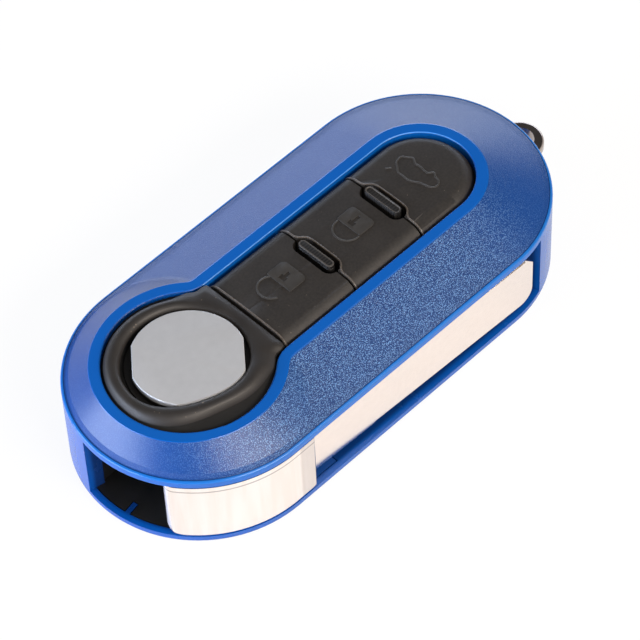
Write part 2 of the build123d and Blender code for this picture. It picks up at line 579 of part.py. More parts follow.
with BuildPart() as flip_head:
    with BuildSketch(level(HEAD_BOTTOM_Z)):
        disc(HINGE_X, HINGE_Y, HEAD_RADIUS)
        stadium(HEAD_INSET, mode=Mode.INTERSECT)
        wedge(HINGE_X, HINGE_Y, HEAD_START_ANGLE, HEAD_END_ANGLE, mode=Mode.INTERSECT)
    extrude(amount=HEAD_TOP_Z - HEAD_BOTTOM_Z)
    tall = flip_head.edges().filter_by(Axis.Z)
    fillet(tall.sort_by(Axis.X)[0], HEAD_EDGE_ROUND)
    round_low_corner(HEAD_START_ANGLE, 1, HEAD_LOW_CORNER)
    round_low_corner(HEAD_END_ANGLE, -1, HEAD_LOW_CORNER_BLADE)
    with BuildSketch(level(HEAD_BOTTOM_Z)):
        disc(HINGE_X, HINGE_Y, HEAD_BARREL_RADIUS)
    extrude(amount=HEAD_TOP_Z - HEAD_BOTTOM_Z)
    # the groove in which the pressed lug travels
    with BuildSketch(level(GROOVE_Z)):
        disc(HINGE_X, HINGE_Y, LOCK_DISTANCE + LOCK_NECK_RADIUS + LOCK_END_FIT)
        disc(HINGE_X, HINGE_Y, LOCK_HUB_RADIUS, mode=Mode.SUBTRACT)
    extrude(amount=HEAD_TOP_Z, mode=Mode.SUBTRACT)
    with BuildSketch(level(GROOVE_Z)):
        disc(HINGE_X, HINGE_Y, LOCK_HUB_RADIUS)
    extrude(amount=LOCK_FLANGE_Z - GROOVE_Z)
    # the lock flange: a notch for the lug at both ends of the turn, each with a tooth, and a recess between
    with BuildSketch(level(LOCK_FLANGE_Z)):
        disc(HINGE_X, HINGE_Y, LOCK_FLANGE_RADIUS)
        recess_start = LOCK_ANGLE + LOCK_TOOTH_ANGLE
        recess_end = LOCK_ANGLE + OPEN_ANGLE - LOCK_TOOTH_ANGLE
        wedge(HINGE_X, HINGE_Y, recess_start, recess_end, mode=Mode.SUBTRACT)
        for notch_angle in (LOCK_ANGLE, LOCK_ANGLE + OPEN_ANGLE):
            with Locations(polar(HINGE_X, HINGE_Y, LOCK_FLANGE_RADIUS, notch_angle)):
                notch_width = LOCK_LUG_WIDTH + 2 * LOCK_SIDE_FIT
                Rectangle(2 * LOCK_LUG_REACH, notch_width, rotation=notch_angle, mode=Mode.SUBTRACT)
        disc(HINGE_X, HINGE_Y, LOCK_HUB_RADIUS)
    extrude(amount=LOCK_FLANGE_THICKNESS)
    # the pocket of the flip spring and the bore of the hinge pin
    with BuildSketch(level(HEAD_BOTTOM_Z)):
        disc(HINGE_X, HINGE_Y, SPRING_POCKET_RADIUS)
    extrude(amount=SPRING_POCKET_DEPTH, mode=Mode.SUBTRACT)
    with BuildSketch(level(0)):
        disc(HINGE_X, HINGE_Y, PIN_RADIUS + PIN_CLEARANCE)
    extrude(amount=CEILING_TOP_Z, mode=Mode.SUBTRACT)
    # the slot of the blade, open at the top, and the hole of its pin
    with BuildSketch(BLADE_SIDE.offset(SNUG_FIT)):
        with Locations((-BLADE_ROOT - SNUG_FIT, BLADE_LOW_Z - BLADE_SHOULDER - SNUG_FIT)):
            Rectangle(2 * BLADE_ROOT, BIG, align=(Align.MIN, Align.MIN))
    extrude(amount=-BLADE_THICKNESS - 2 * SNUG_FIT, mode=Mode.SUBTRACT)
    with BuildSketch(BLADE_SIDE.offset(BLADE_PIN_PROUD)):
        disc(-BLADE_PIN_INSET, BLADE_PIN_Z, BLADE_PIN_RADIUS + SNUG_FIT)
    extrude(amount=-BLADE_PIN_LENGTH, mode=Mode.SUBTRACT)
flip_head.part.label = "flip_head"

# Key blade: on edge in the slot, pinned into the head
with BuildPart() as key_blade:
    with BuildSketch(BLADE_SIDE):
        with BuildLine():
            high_z = BLADE_LOW_Z + BLADE_WIDTH
            root_z = BLADE_LOW_Z - BLADE_SHOULDER
            Polyline(
                (BLADE_LENGTH, BLADE_LOW_Z + BLADE_TIP_ROUND),
                (BLADE_LENGTH, high_z - BLADE_TIP_BEVEL),
                (BLADE_LENGTH - BLADE_TIP_BEVEL, high_z),
                (-BLADE_ROOT, high_z),
                (-BLADE_ROOT, root_z),
                (BLADE_SHOULDER_LENGTH, root_z),
                (BLADE_SHOULDER_LENGTH + BLADE_SHOULDER, BLADE_LOW_Z),
                (BLADE_LENGTH - BLADE_TIP_ROUND, BLADE_LOW_Z),
            )
            RadiusArc(
                (BLADE_LENGTH - BLADE_TIP_ROUND, BLADE_LOW_Z),
                (BLADE_LENGTH, BLADE_LOW_Z + BLADE_TIP_ROUND),
                -BLADE_TIP_ROUND,
            )
        make_face()
    extrude(amount=-BLADE_THICKNESS)
    chamfer(key_blade.faces().sort_by(Axis.Y)[0].edges(), BLADE_EDGE)
    with BuildSketch(BLADE_SIDE.offset(BLADE_PIN_PROUD)):
        disc(-BLADE_PIN_INSET, BLADE_PIN_Z, BLADE_PIN_RADIUS + SNUG_FIT)
    extrude(amount=-BLADE_PIN_LENGTH, mode=Mode.SUBTRACT)
key_blade.part.label = "key_blade"

with BuildPart() as blade_pin:
    with BuildSketch(BLADE_SIDE.offset(BLADE_PIN_PROUD)):
        disc(-BLADE_PIN_INSET, BLADE_PIN_Z, BLADE_PIN_RADIUS)
    extrude(amount=-BLADE_PIN_LENGTH)
blade_pin.part.label = "blade_pin"

# Hinge pin: from the case floor through the head to the frame above
with BuildPart() as hinge_pin:
    with BuildSketch(level(BACK_FLOOR)):
        disc(HINGE_X, HINGE_Y, PIN_RADIUS)
    extrude(amount=RING_PLATE_TOP_Z - BACK_FLOOR)
hinge_pin.part.label = "hinge_pin"


def coil(x, y, low_z, high_z, radius, wire, turns):
    """A spring wound about a vertical axis, its wire ends level with the seats."""
    height = high_z - low_z - 2 * wire
    with BuildLine(mode=Mode.PRIVATE) as path:
        Helix(pitch=height / turns, height=height, radius=radius, center=(x, y, low_z + wire))
    with BuildSketch(Plane(origin=path.line @ 0, z_dir=path.line % 0), mode=Mode.PRIVATE) as section:
        RegularPolygon(wire, COIL_WIRE_SIDES)
    sweep(sections=section.sketch, path=path.line, is_frenet=True)


with BuildPart() as flip_spring:
    spring_low_z = SLOT_FLOOR_Z + BEARING_HEIGHT + SPRING_END_GAP
    spring_high_z = HEAD_BOTTOM_Z + SPRING_POCKET_DEPTH - SPRING_END_GAP
    coil(HINGE_X, HINGE_Y, spring_low_z, spring_high_z, SPRING_COIL_RADIUS, SPRING_WIRE, SPRING_TURNS)
flip_spring.part.label = "flip_spring"

# Keypad frame: a plate over the electronics, stepped up over the lock
with BuildPart() as keypad_frame:
    with BuildSketch(level(PARTING_Z)):
        stadium(CEILING_INSET)
        band(SPLIT_X, BIG, CHANNEL_BACK_Y + FIT, BIG, mode=Mode.INTERSECT)
        for key_x in KEY_X:
            disc(key_x, 0, MEMBRANE_BOSS_RADIUS + SEAM_GAP, mode=Mode.SUBTRACT)
    extrude(amount=FRAME_THICKNESS)
    with BuildSketch(level(CEILING_TOP_Z)):
        disc(RING_X, 0, RING_HOUSING_RADIUS)
        band(-BIG, SPLIT_X + FRAME_WALL - SEAM_GAP, mode=Mode.INTERSECT)
    extrude(amount=RING_PLATE_TOP_Z - CEILING_TOP_Z)
    with BuildSketch(level(CEILING_TOP_Z)):
        disc(RING_X, 0, RING_HOUSING_RADIUS - RING_HOUSING_WALL)
        band(-BIG, SPLIT_X, mode=Mode.INTERSECT)
    extrude(amount=RING_CAVITY_HEIGHT, mode=Mode.SUBTRACT)
    with BuildSketch(level(CEILING_TOP_Z)):
        disc(HINGE_X, HINGE_Y, PIN_RADIUS + PIN_CLEARANCE)
        disc(RING_X, 0, LOCK_NECK_RADIUS + FIT)
    extrude(amount=RING_PLATE_TOP_Z, mode=Mode.SUBTRACT)
    with BuildSketch(level(CEILING_TOP_Z)):
        with Locations((SEAM_X[1], 0), (SEAM_X[2], 0)):
            SlotOverall(BAR_LENGTH, BAR_WIDTH, rotation=90)
    extrude(amount=BAR_TOP_Z - CEILING_TOP_Z)
    fillet(keypad_frame.faces().filter_by(Axis.Z).sort_by(Axis.Z)[-2:].edges(), BAR_ROUND)
keypad_frame.part.label = "keypad_frame"

# The crown of the keypad: what lies under its slightly arched top with round shoulders
CROWN_HALF = WINDOW_HALF_WIDTH - FIT
CROWN_STEP_Z = KEY_LOW_Z + KEY_FLANGE_THICKNESS
CROWN_EDGE_Z = CROWN_Z - KEY_EDGE_DROP


def crown_section():
    """The section of the crown, down to the flanges of the keys."""
    with BuildSketch(mode=Mode.PRIVATE) as section:
        with BuildLine():
            ThreePointArc((-CROWN_HALF, CROWN_EDGE_Z), (0, CROWN_Z), (CROWN_HALF, CROWN_EDGE_Z))
            Polyline(
                (CROWN_HALF, CROWN_EDGE_Z),
                (CROWN_HALF, CROWN_STEP_Z),
                (-CROWN_HALF, CROWN_STEP_Z),
                (-CROWN_HALF, CROWN_EDGE_Z),
            )
        make_face()
        fillet(section.vertices().group_by(Axis.Y)[-1], KEY_SHOULDER)
    add(section.sketch)


def pills(margin, mode=Mode.SUBTRACT):
    """The recesses round the bars of the keypad frame, wider than the bars by a margin."""
    with Locations((SEAM_X[1], 0), (SEAM_X[2], 0)):
        SlotOverall(BAR_LENGTH + 2 * margin, BAR_WIDTH + 2 * margin, rotation=90, mode=mode)


with BuildPart() as crown:
    with BuildSketch(Plane.YZ.offset(-CASE_LENGTH)):
        crown_section()
    extrude(amount=CASE_LENGTH + WINDOW_END_X)
    with BuildSketch(Plane.YZ.offset(WINDOW_END_X)):
        crown_section()
        band(-BIG, 0, mode=Mode.INTERSECT)
    revolve(axis=Axis((WINDOW_END_X, 0, 0), (0, 0, 1)), revolution_arc=180)

# Release bezel: a plate with a raised ring round the button, level with the keys beside them
with BuildPart() as release_bezel:
    with BuildSketch(level(RING_PLATE_TOP_Z)):
        window(FIT)
        band(-BIG, SEAM_X[0] - SEAM_GAP / 2, mode=Mode.INTERSECT)
    extrude(amount=BEZEL_SHOULDER_Z - RING_PLATE_TOP_Z)
    with BuildSketch(level(CROWN_STEP_Z), mode=Mode.PRIVATE) as plateau:
        band(RING_X + BEZEL_FLAT, SEAM_X[0] - SEAM_GAP / 2)
    add(extrude(plateau.sketch, amount=CROWN_Z, mode=Mode.PRIVATE) & crown.part)
    with BuildSketch(Plane.XZ.offset(-BEZEL_SHIFT_Y)):
        middle_x = RING_X + BEZEL_SHIFT_X
        inner_x = middle_x + BUTTON_RADIUS
        crest = (middle_x + BEZEL_CREST_RADIUS, BEZEL_CREST_Z)
        foot_x = middle_x + BEZEL_FOOT_RADIUS
        foot_z = BEZEL_SHOULDER_Z - BEZEL_SINK
        with BuildLine():
            RadiusArc((inner_x, BEZEL_LIP_Z), crest, BEZEL_INNER_CURVE)
            RadiusArc(crest, (foot_x, BEZEL_SHOULDER_Z), BEZEL_OUTER_CURVE)
            Polyline((foot_x, BEZEL_SHOULDER_Z), (foot_x, foot_z), (inner_x, foot_z), (inner_x, BEZEL_LIP_Z))
        make_face()
    revolve(axis=Axis((middle_x, BEZEL_SHIFT_Y, 0), (0, 0, 1)))
    with BuildSketch(level(RING_PLATE_TOP_Z)):
        disc(RING_X, 0, WINDOW_RING_RADIUS + BEZEL_FLANGE)
        band(-BIG, SEAM_X[0] - SEAM_GAP / 2, mode=Mode.INTERSECT)
    extrude(amount=BEZEL_FLANGE_THICKNESS)
    with BuildSketch(level(0)):
        disc(RING_X, 0, BUTTON_RADIUS + BUTTON_GAP)
    extrude(amount=RIM_Z * 2, mode=Mode.SUBTRACT)
    with BuildSketch(level(0)):
        disc(RING_X, 0, BUTTON_RADIUS + BUTTON_FLANGE + BUTTON_GAP)
    extrude(amount=BUTTON_LOW_Z + BUTTON_FLANGE_THICKNESS + LOCK_GAP, mode=Mode.SUBTRACT)
release_bezel.part.label = "release_bezel"

# Release button: a metal cap with two flats and a round flange held under the bezel
with BuildPart() as release_button:
    with BuildSketch(level(BUTTON_LOW_Z)):
        disc(RING_X, 0, BUTTON_RADIUS)
        with Locations((RING_X, 0)):
            Rectangle(2 * BUTTON_FLAT, 4 * BUTTON_RADIUS, rotation=BUTTON_FLAT_ANGLE, mode=Mode.INTERSECT)
    extrude(amount=BUTTON_TOP_Z - BUTTON_LOW_Z)
    fillet(release_button.faces().sort_by(Axis.Z)[-1].edges(), BUTTON_EDGE_ROUND)
    with BuildSketch(level(BUTTON_LOW_Z)):
        disc(RING_X, 0, BUTTON_RADIUS + BUTTON_FLANGE)
    extrude(amount=BUTTON_FLANGE_THICKNESS)
    with BuildSketch(level(BUTTON_LOW_Z)):
        disc(RING_X, 0, BUTTON_RADIUS - BUTTON_SKIRT_WALL)
    extrude(amount=BUTTON_TOP_Z - BUTTON_TOP_WALL - BUTTON_LOW_Z, mode=Mode.SUBTRACT)
    with BuildSketch(level(BUTTON_LOW_Z)):
        disc(RING_X, 0, BUTTON_BOSS_RADIUS)
        disc(RING_X, 0, LOCK_NECK_RADIUS + SNUG_FIT, mode=Mode.SUBTRACT)
    extrude(amount=BUTTON_TOP_Z - BUTTON_TOP_WALL - BUTTON_LOW_Z)
release_button.part.label = "release_button"

# Lock plunger: its lug stands in a notch of the head, and drops under the flange when pressed
with BuildPart() as lock_plunger:
    with BuildSketch(level(LOCK_LUG_Z)):
        with Locations((RING_X, 0)):
            Rectangle(
                LOCK_LUG_REACH,
                LOCK_LUG_WIDTH,
                rotation=LOCK_ANGLE + 180,
                align=(Align.MIN, Align.CENTER),
            )
    extrude(amount=LOCK_LUG_HEIGHT)
    with BuildSketch(level(LOCK_LUG_Z)):
        disc(RING_X, 0, LOCK_NECK_RADIUS)
    extrude(amount=BUTTON_TOP_Z - BUTTON_TOP_WALL - LOCK_LUG_Z)
lock_plunger.part.label = "lock_plunger"

with BuildPart() as release_spring:
    coil(
        RING_X,
        0,
        RING_PLATE_TOP_Z,
        BUTTON_TOP_Z - BUTTON_TOP_WALL,
        RELEASE_SPRING_RADIUS,
        RELEASE_SPRING_WIRE,
        RELEASE_SPRING_TURNS,
    )
release_spring.part.label = "release_spring"

# Keys: three crowned caps with a flange under the rim, parted by straight seams
keys = []
key_ends = (*SEAM_X[1:], CASE_END_X)
for key_name, seam_start, seam_end in zip(KEY_NAMES, SEAM_X, key_ends):
    key_start = seam_start + SEAM_GAP / 2
    key_end = seam_end - SEAM_GAP / 2
    with BuildPart() as key:
        with BuildSketch(level(KEY_LOW_Z)):
            window(-KEY_FLANGE)
            band(key_start, key_end, mode=Mode.INTERSECT)
            pills(PILL_MARGIN)
        extrude(amount=KEY_FLANGE_THICKNESS)
        with BuildSketch(level(CROWN_STEP_Z), mode=Mode.PRIVATE) as cap:
            window(FIT)
            band(key_start, key_end, mode=Mode.INTERSECT)
            pills(PILL_MARGIN)
        add(extrude(cap.sketch, amount=CROWN_Z, mode=Mode.PRIVATE) & crown.part)
        # a fine ridge along the seam and round the recess
        with BuildSketch(level(CROWN_STEP_Z), mode=Mode.PRIVATE) as ridge:
            pills(PILL_MARGIN + RIDGE_WIDTH, mode=Mode.ADD)
            band(key_start, key_start + RIDGE_WIDTH)
            window(FIT, mode=Mode.INTERSECT)
            band(key_start, (key_start + key_end) / 2, mode=Mode.INTERSECT)
            pills(PILL_MARGIN)
        raised_crown = crown.part.moved(Location((0, 0, RIDGE_HEIGHT)))
        add(extrude(ridge.sketch, amount=CROWN_Z, mode=Mode.PRIVATE) & raised_crown)
    key.part.label = "button_" + key_name
    keys.append(key.part)

# Keypad membrane: one rubber sheet with a boss and a nub for each key
with BuildPart() as keypad_membrane:
    with BuildSketch(level(PARTING_Z - MEMBRANE_THICKNESS)):
        band(
            KEY_X[0] - MEMBRANE_MARGIN, KEY_X[2] + MEMBRANE_MARGIN, -MEMBRANE_HALF_WIDTH, MEMBRANE_HALF_WIDTH
        )
    extrude(amount=MEMBRANE_THICKNESS)
    fillet(keypad_membrane.edges().filter_by(Axis.Z), MEMBRANE_CORNER)
    with BuildSketch(level(PARTING_Z)):
        for key_x in KEY_X:
            disc(key_x, 0, MEMBRANE_BOSS_RADIUS)
    extrude(amount=KEY_LOW_Z - PARTING_Z)
    with BuildSketch(level(SWITCH_TOP_Z + SNUG_FIT)):
        for key_x in KEY_X:
            disc(key_x, 0, MEMBRANE_NUB_RADIUS)
    extrude(amount=PARTING_Z - SWITCH_TOP_Z - SNUG_FIT)
keypad_membrane.part.label = "keypad_membrane"

# Circuit board on its posts, with the parts soldered to it
with BuildPart() as circuit_board:
    with BuildSketch(level(BOARD_Z)):
        bay(BOARD_GAP)
        for post in SCREWED_POSTS:
            disc(*post, SCREW_RADIUS + SNUG_FIT, mode=Mode.SUBTRACT)
    extrude(amount=BOARD_THICKNESS)
circuit_board.part.label = "circuit_board"

switches = []
for key_name, key_x in zip(KEY_NAMES, KEY_X):
    with BuildPart() as switch:
        with BuildSketch(level(BOARD_TOP_Z)):
            with Locations((key_x, 0)):
                Rectangle(SWITCH_SIDE, SWITCH_SIDE)
        extrude(amount=SWITCH_HEIGHT)
        chamfer(switch.edges().filter_by(Axis.Z), SWITCH_CORNER)
        with BuildSketch(level(BOARD_TOP_Z + SWITCH_HEIGHT)):
            disc(key_x, 0, SWITCH_STEM_RADIUS)
        extrude(amount=SWITCH_STEM_HEIGHT)
    switch.part.label = "switch_" + key_name
    switches.append(switch.part)

with BuildPart() as control_chip:
    with BuildSketch(level(BOARD_TOP_Z)):
        with Locations((SEAM_X[1], CHIP_ROW_HIGH_Y)):
            Rectangle(CONTROL_SIDE, CONTROL_SIDE)
    extrude(amount=CONTROL_HEIGHT)
    chamfer(control_chip.faces().sort_by(Axis.Z)[-1].edges(), CHIP_EDGE)
control_chip.part.label = "control_chip"

with BuildPart() as crystal:
    with BuildSketch(level(BOARD_TOP_Z)):
        with Locations((SEAM_X[1], CHIP_ROW_LOW_Y)):
            Rectangle(CRYSTAL_SIZE[0], CRYSTAL_SIZE[1])
    extrude(amount=CRYSTAL_SIZE[2])
    fillet(crystal.edges().filter_by(Axis.Z), CHIP_EDGE)
crystal.part.label = "crystal"

with BuildPart() as antenna_coil:
    with BuildSketch(level(BOARD_TOP_Z)):
        with Locations((SEAM_X[2], CHIP_ROW_HIGH_Y)):
            RectangleRounded(COIL_SIDE, COIL_SIDE, COIL_SIDE / 4)
            RectangleRounded(COIL_SIDE / 2, COIL_SIDE / 2, COIL_SIDE / 8, mode=Mode.SUBTRACT)
    extrude(amount=COIL_HEIGHT)
antenna_coil.part.label = "antenna_coil"

with BuildPart() as resistors:
    with BuildSketch(level(BOARD_TOP_Z)):
        with Locations((SEAM_X[2], CHIP_ROW_LOW_Y)):
            with GridLocations(2 * RESISTOR_SIZE[0], 2 * RESISTOR_SIZE[1], 3, 2):
                Rectangle(RESISTOR_SIZE[0], RESISTOR_SIZE[1])
    extrude(amount=RESISTOR_SIZE[2])
resistors.part.label = "resistors"

with BuildPart() as board_screws:
    with BuildSketch(level(BOARD_Z - SCREW_DEPTH + SNUG_FIT)):
        with Locations(*SCREWED_POSTS):
            Circle(SCREW_RADIUS)
    extrude(amount=SCREW_DEPTH + BOARD_THICKNESS)
    with BuildSketch(level(BOARD_TOP_Z)):
        with Locations(*SCREWED_POSTS):
            Circle(SCREW_HEAD_RADIUS)
    extrude(amount=SCREW_HEAD_HEIGHT)
board_screws.part.label = "board_screws"

# Coin cell in its seat, with a spring contact below and a clip above
with BuildPart() as coin_cell:
    with BuildSketch(level(CELL_Z)):
        disc(BAY_X, BAY_Y, CELL_RADIUS)
    extrude(amount=CELL_THICKNESS)
    fillet(coin_cell.edges(), CELL_EDGE)
coin_cell.part.label = "coin_cell"

riser_x = BAY_X + CELL_RADIUS + CELL_FIT + CELL_SEAT_WALL
with BuildPart() as contact_negative:
    with BuildSketch(Plane.XZ.offset(-BAY_Y - CONTACT_WIDTH / 2)):
        with BuildLine():
            Polyline(
                (BAY_X - riser_x + BAY_X, BOARD_Z - CONTACT_THICKNESS / 2),
                (BAY_X - riser_x + BAY_X, BAY_FLOOR_Z + CONTACT_THICKNESS / 2),
                (BAY_X - CONTACT_WIDTH, BAY_FLOOR_Z + CONTACT_THICKNESS / 2),
                (BAY_X, CELL_Z - CONTACT_THICKNESS),
                (BAY_X + CONTACT_WIDTH / 2, CELL_Z - CONTACT_THICKNESS),
            )
            offset(amount=CONTACT_THICKNESS / 2, side=Side.BOTH)
        make_face()
    extrude(amount=CONTACT_WIDTH)
contact_negative.part.label = "contact_negative"

clip_z = CELL_Z + CELL_THICKNESS + CONTACT_THICKNESS / 2
with BuildPart() as contact_positive:
    with BuildSketch(Plane.XZ.offset(-BAY_Y - CONTACT_WIDTH / 2)):
        with BuildLine():
            Polyline(
                (riser_x + CONTACT_WIDTH / 2, BOARD_Z - CONTACT_THICKNESS / 2),
                (riser_x, BOARD_Z - CONTACT_THICKNESS / 2),
                (riser_x, clip_z),
                (BAY_X + CONTACT_WIDTH / 2, clip_z),
            )
            offset(amount=CONTACT_THICKNESS / 2, side=Side.BOTH)
        make_face()
    extrude(amount=CONTACT_WIDTH)
contact_positive.part.label = "contact_positive"

# Transponder chip in its pocket beside the pivot
with BuildPart() as transponder:
    with BuildSketch(level(CEILING_TOP_Z - CHIP_THICKNESS - FIT)):
        with Locations((CHIP_X, CHIP_Y)):
            Rectangle(CHIP_LENGTH, CHIP_WIDTH)
    extrude(amount=CHIP_THICKNESS)
    chamfer(transponder.edges().filter_by(Axis.X), CHIP_BEVEL)
transponder.part.label = "transponder"

# Key-ring eye: a flat ring on a shank that a pin holds in the chassis
with BuildPart() as key_loop:
    with BuildSketch(level(EYE_Z - EYE_THICKNESS / 2)):
        eye_plan(0)
        disc(EYE_X, 0, EYE_HOLE_RADIUS, mode=Mode.SUBTRACT)
        disc(LOOP_PIN_X, 0, LOOP_PIN_RADIUS + PIN_CLEARANCE, mode=Mode.SUBTRACT)
    extrude(amount=EYE_THICKNESS)
    rounds = key_loop.edges().filter_by(GeomType.CIRCLE)
    fillet(rounds.filter_by(lambda edge: edge.radius > EYE_HOLE_RADIUS + EYE_EDGE), EYE_EDGE)
key_loop.part.label = "key_loop"

with BuildPart() as loop_pin:
    with BuildSketch(level(PARTING_Z - LOOP_PIN_HEIGHT - LOOP_PIN_DROP)):
        disc(LOOP_PIN_X, 0, LOOP_PIN_RADIUS)
    extrude(amount=LOOP_PIN_HEIGHT)
loop_pin.part.label = "loop_pin"

os.makedirs("parts", exist_ok=True)
for piece in (
    front_cover.part,
    rear_shell.part,
    inner_chassis.part,
    flip_head.part,
    key_blade.part,
    blade_pin.part,
    hinge_pin.part,
    flip_spring.part,
    keypad_frame.part,
    release_bezel.part,
    release_button.part,
    lock_plunger.part,
    release_spring.part,
    *keys,
    keypad_membrane.part,
    circuit_board.part,
    *switches,
    control_chip.part,
    crystal.part,
    antenna_coil.part,
    resistors.part,
    board_screws.part,
    coin_cell.part,
    contact_negative.part,
    contact_positive.part,
    transponder.part,
    key_loop.part,
    loop_pin.part,
):
    export_step(piece, "parts/" + piece.label + ".step")
    print(piece.label, len(piece.solids()), "solids", round(piece.volume, 1), "mm3")
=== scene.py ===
# %% [markdown]
# # A three-button flip key remote
# The remote lies closed on its flat back. Its cases, keys, flip head, blade and joints come from the packed
# model, which is the fixed frame of this scene. Here it gets its finishes, softer keys, a fuller ring round
# the button, the raised symbols, a camera and a studio. Blender counts in metres, so sizes are written in
# millimetres and multiplied by MM. Only the outlines of new pieces stay in millimetres until they are made.

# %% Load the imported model
import math

import bpy
from mathutils import Matrix, Vector


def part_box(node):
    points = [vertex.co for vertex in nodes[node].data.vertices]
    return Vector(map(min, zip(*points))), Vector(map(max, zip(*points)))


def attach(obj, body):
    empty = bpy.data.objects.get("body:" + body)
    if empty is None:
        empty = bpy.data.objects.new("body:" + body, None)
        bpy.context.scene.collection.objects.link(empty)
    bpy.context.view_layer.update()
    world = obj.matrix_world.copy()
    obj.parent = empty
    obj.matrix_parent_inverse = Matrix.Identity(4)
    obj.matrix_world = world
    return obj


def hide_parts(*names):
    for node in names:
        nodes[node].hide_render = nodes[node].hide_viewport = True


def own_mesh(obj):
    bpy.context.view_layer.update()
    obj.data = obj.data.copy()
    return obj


MM = 0.001
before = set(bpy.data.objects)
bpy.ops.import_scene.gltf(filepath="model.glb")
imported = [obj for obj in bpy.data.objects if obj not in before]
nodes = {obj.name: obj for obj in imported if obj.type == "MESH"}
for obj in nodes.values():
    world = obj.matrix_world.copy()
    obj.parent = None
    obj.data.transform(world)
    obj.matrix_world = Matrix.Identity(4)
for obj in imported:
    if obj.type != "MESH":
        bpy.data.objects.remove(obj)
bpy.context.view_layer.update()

# %% [markdown]
# Some finishes change with height, so the heights are read from the model and follow it. The cover reaches
# from the parting line up to its flat rim. Both ends of the case are half circles about a point on its middle
# line.

# %% Places read from the model
cover_low, cover_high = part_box("front_cover")
button_low, button_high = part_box("release_button")
PARTING_Z = cover_low.z
RIM_Z = cover_high.z
END_X = 21.5 * MM

# %% [markdown]
# The camera stands where the photograph's did. Its angles, distance and focal length were found by fitting
# the case's outline. A long lens from almost half a metre away keeps the far end nearly as large as the near
# one. The camera's axes are worked out from two angles and then rolled.

# %% Camera
AZIMUTH = -43.066
ELEVATION = 51.804
ROLL = -2.923
DISTANCE = 448.8 * MM
TARGET = Vector((-3.626, -5.224, 12.4)) * MM
FOCAL_PIXELS = 3311.0
IMAGE_SIZE = 640
SENSOR_WIDTH = 36.0
CLIP_RANGE = 20

turn, rise, roll = (math.radians(angle) for angle in (AZIMUTH, ELEVATION, ROLL))
back = Vector((math.sin(turn) * math.cos(rise), -math.cos(turn) * math.cos(rise), math.sin(rise)))
level_right = (-back).cross(Vector((0, 0, 1))).normalized()
level_up = back.cross(level_right)
right = math.cos(roll) * level_right + math.sin(roll) * level_up
up = math.cos(roll) * level_up - math.sin(roll) * level_right

camera_data = bpy.data.cameras.new("photo_camera")
camera_data.sensor_width = SENSOR_WIDTH
camera_data.lens = FOCAL_PIXELS * SENSOR_WIDTH / IMAGE_SIZE
camera_data.clip_start = DISTANCE / CLIP_RANGE
camera_data.clip_end = DISTANCE * CLIP_RANGE
camera = bpy.data.objects.new("photo_camera", camera_data)
bpy.context.scene.collection.objects.link(camera)
place = Matrix((right, up, back)).transposed().to_4x4()
place.translation = TARGET + back * DISTANCE
camera.matrix_world = place
bpy.context.scene.camera = camera
print("lens", round(camera_data.lens, 1), "mm")

# %% [markdown]
# Shader maths reads best as plain expressions. The class Wire holds one output of a shader node, and its
# operators add a Math node each. Its method rises makes the masks that keep a finish in its place.


# %% Wires
class Wire:
    """One output of a shader node, for use in Python expressions."""

    def __init__(self, owner, socket):
        self.owner = owner
        self.socket = socket

    def math(self, operation, first, second=None):
        inputs = {0: first} if second is None else {0: first, 1: second}
        return self.owner.node("ShaderNodeMath", {"operation": operation}, inputs)

    def __add__(self, other):
        return self.math("ADD", self, other)

    __radd__ = __add__

    def __sub__(self, other):
        return self.math("SUBTRACT", self, other)

    def __rsub__(self, other):
        return self.math("SUBTRACT", other, self)

    def __mul__(self, other):
        return self.math("MULTIPLY", self, other)

    __rmul__ = __mul__

    def __pow__(self, other):
        return self.math("POWER", self, other)

    def smaller(self, other):
        return self.math("MINIMUM", self, other)

    def larger(self, other):
        return self.math("MAXIMUM", self, other)

    def size(self):
        return self.math("ABSOLUTE", self)

    def rises(self, low, high):
        """0 below low and 1 above high, with a soft step between. It falls if low is the larger."""
        limits = {"Value": self, "From Min": low, "From Max": high}
        return self.owner.node("ShaderNodeMapRange", {"interpolation_type": "SMOOTHSTEP"}, limits)


# %% [markdown]
# NodeTree has one method that adds any node: its settings first, then the values or links of its sockets.
# The patterns that the finishes share, such as noise and dust, are built from it.


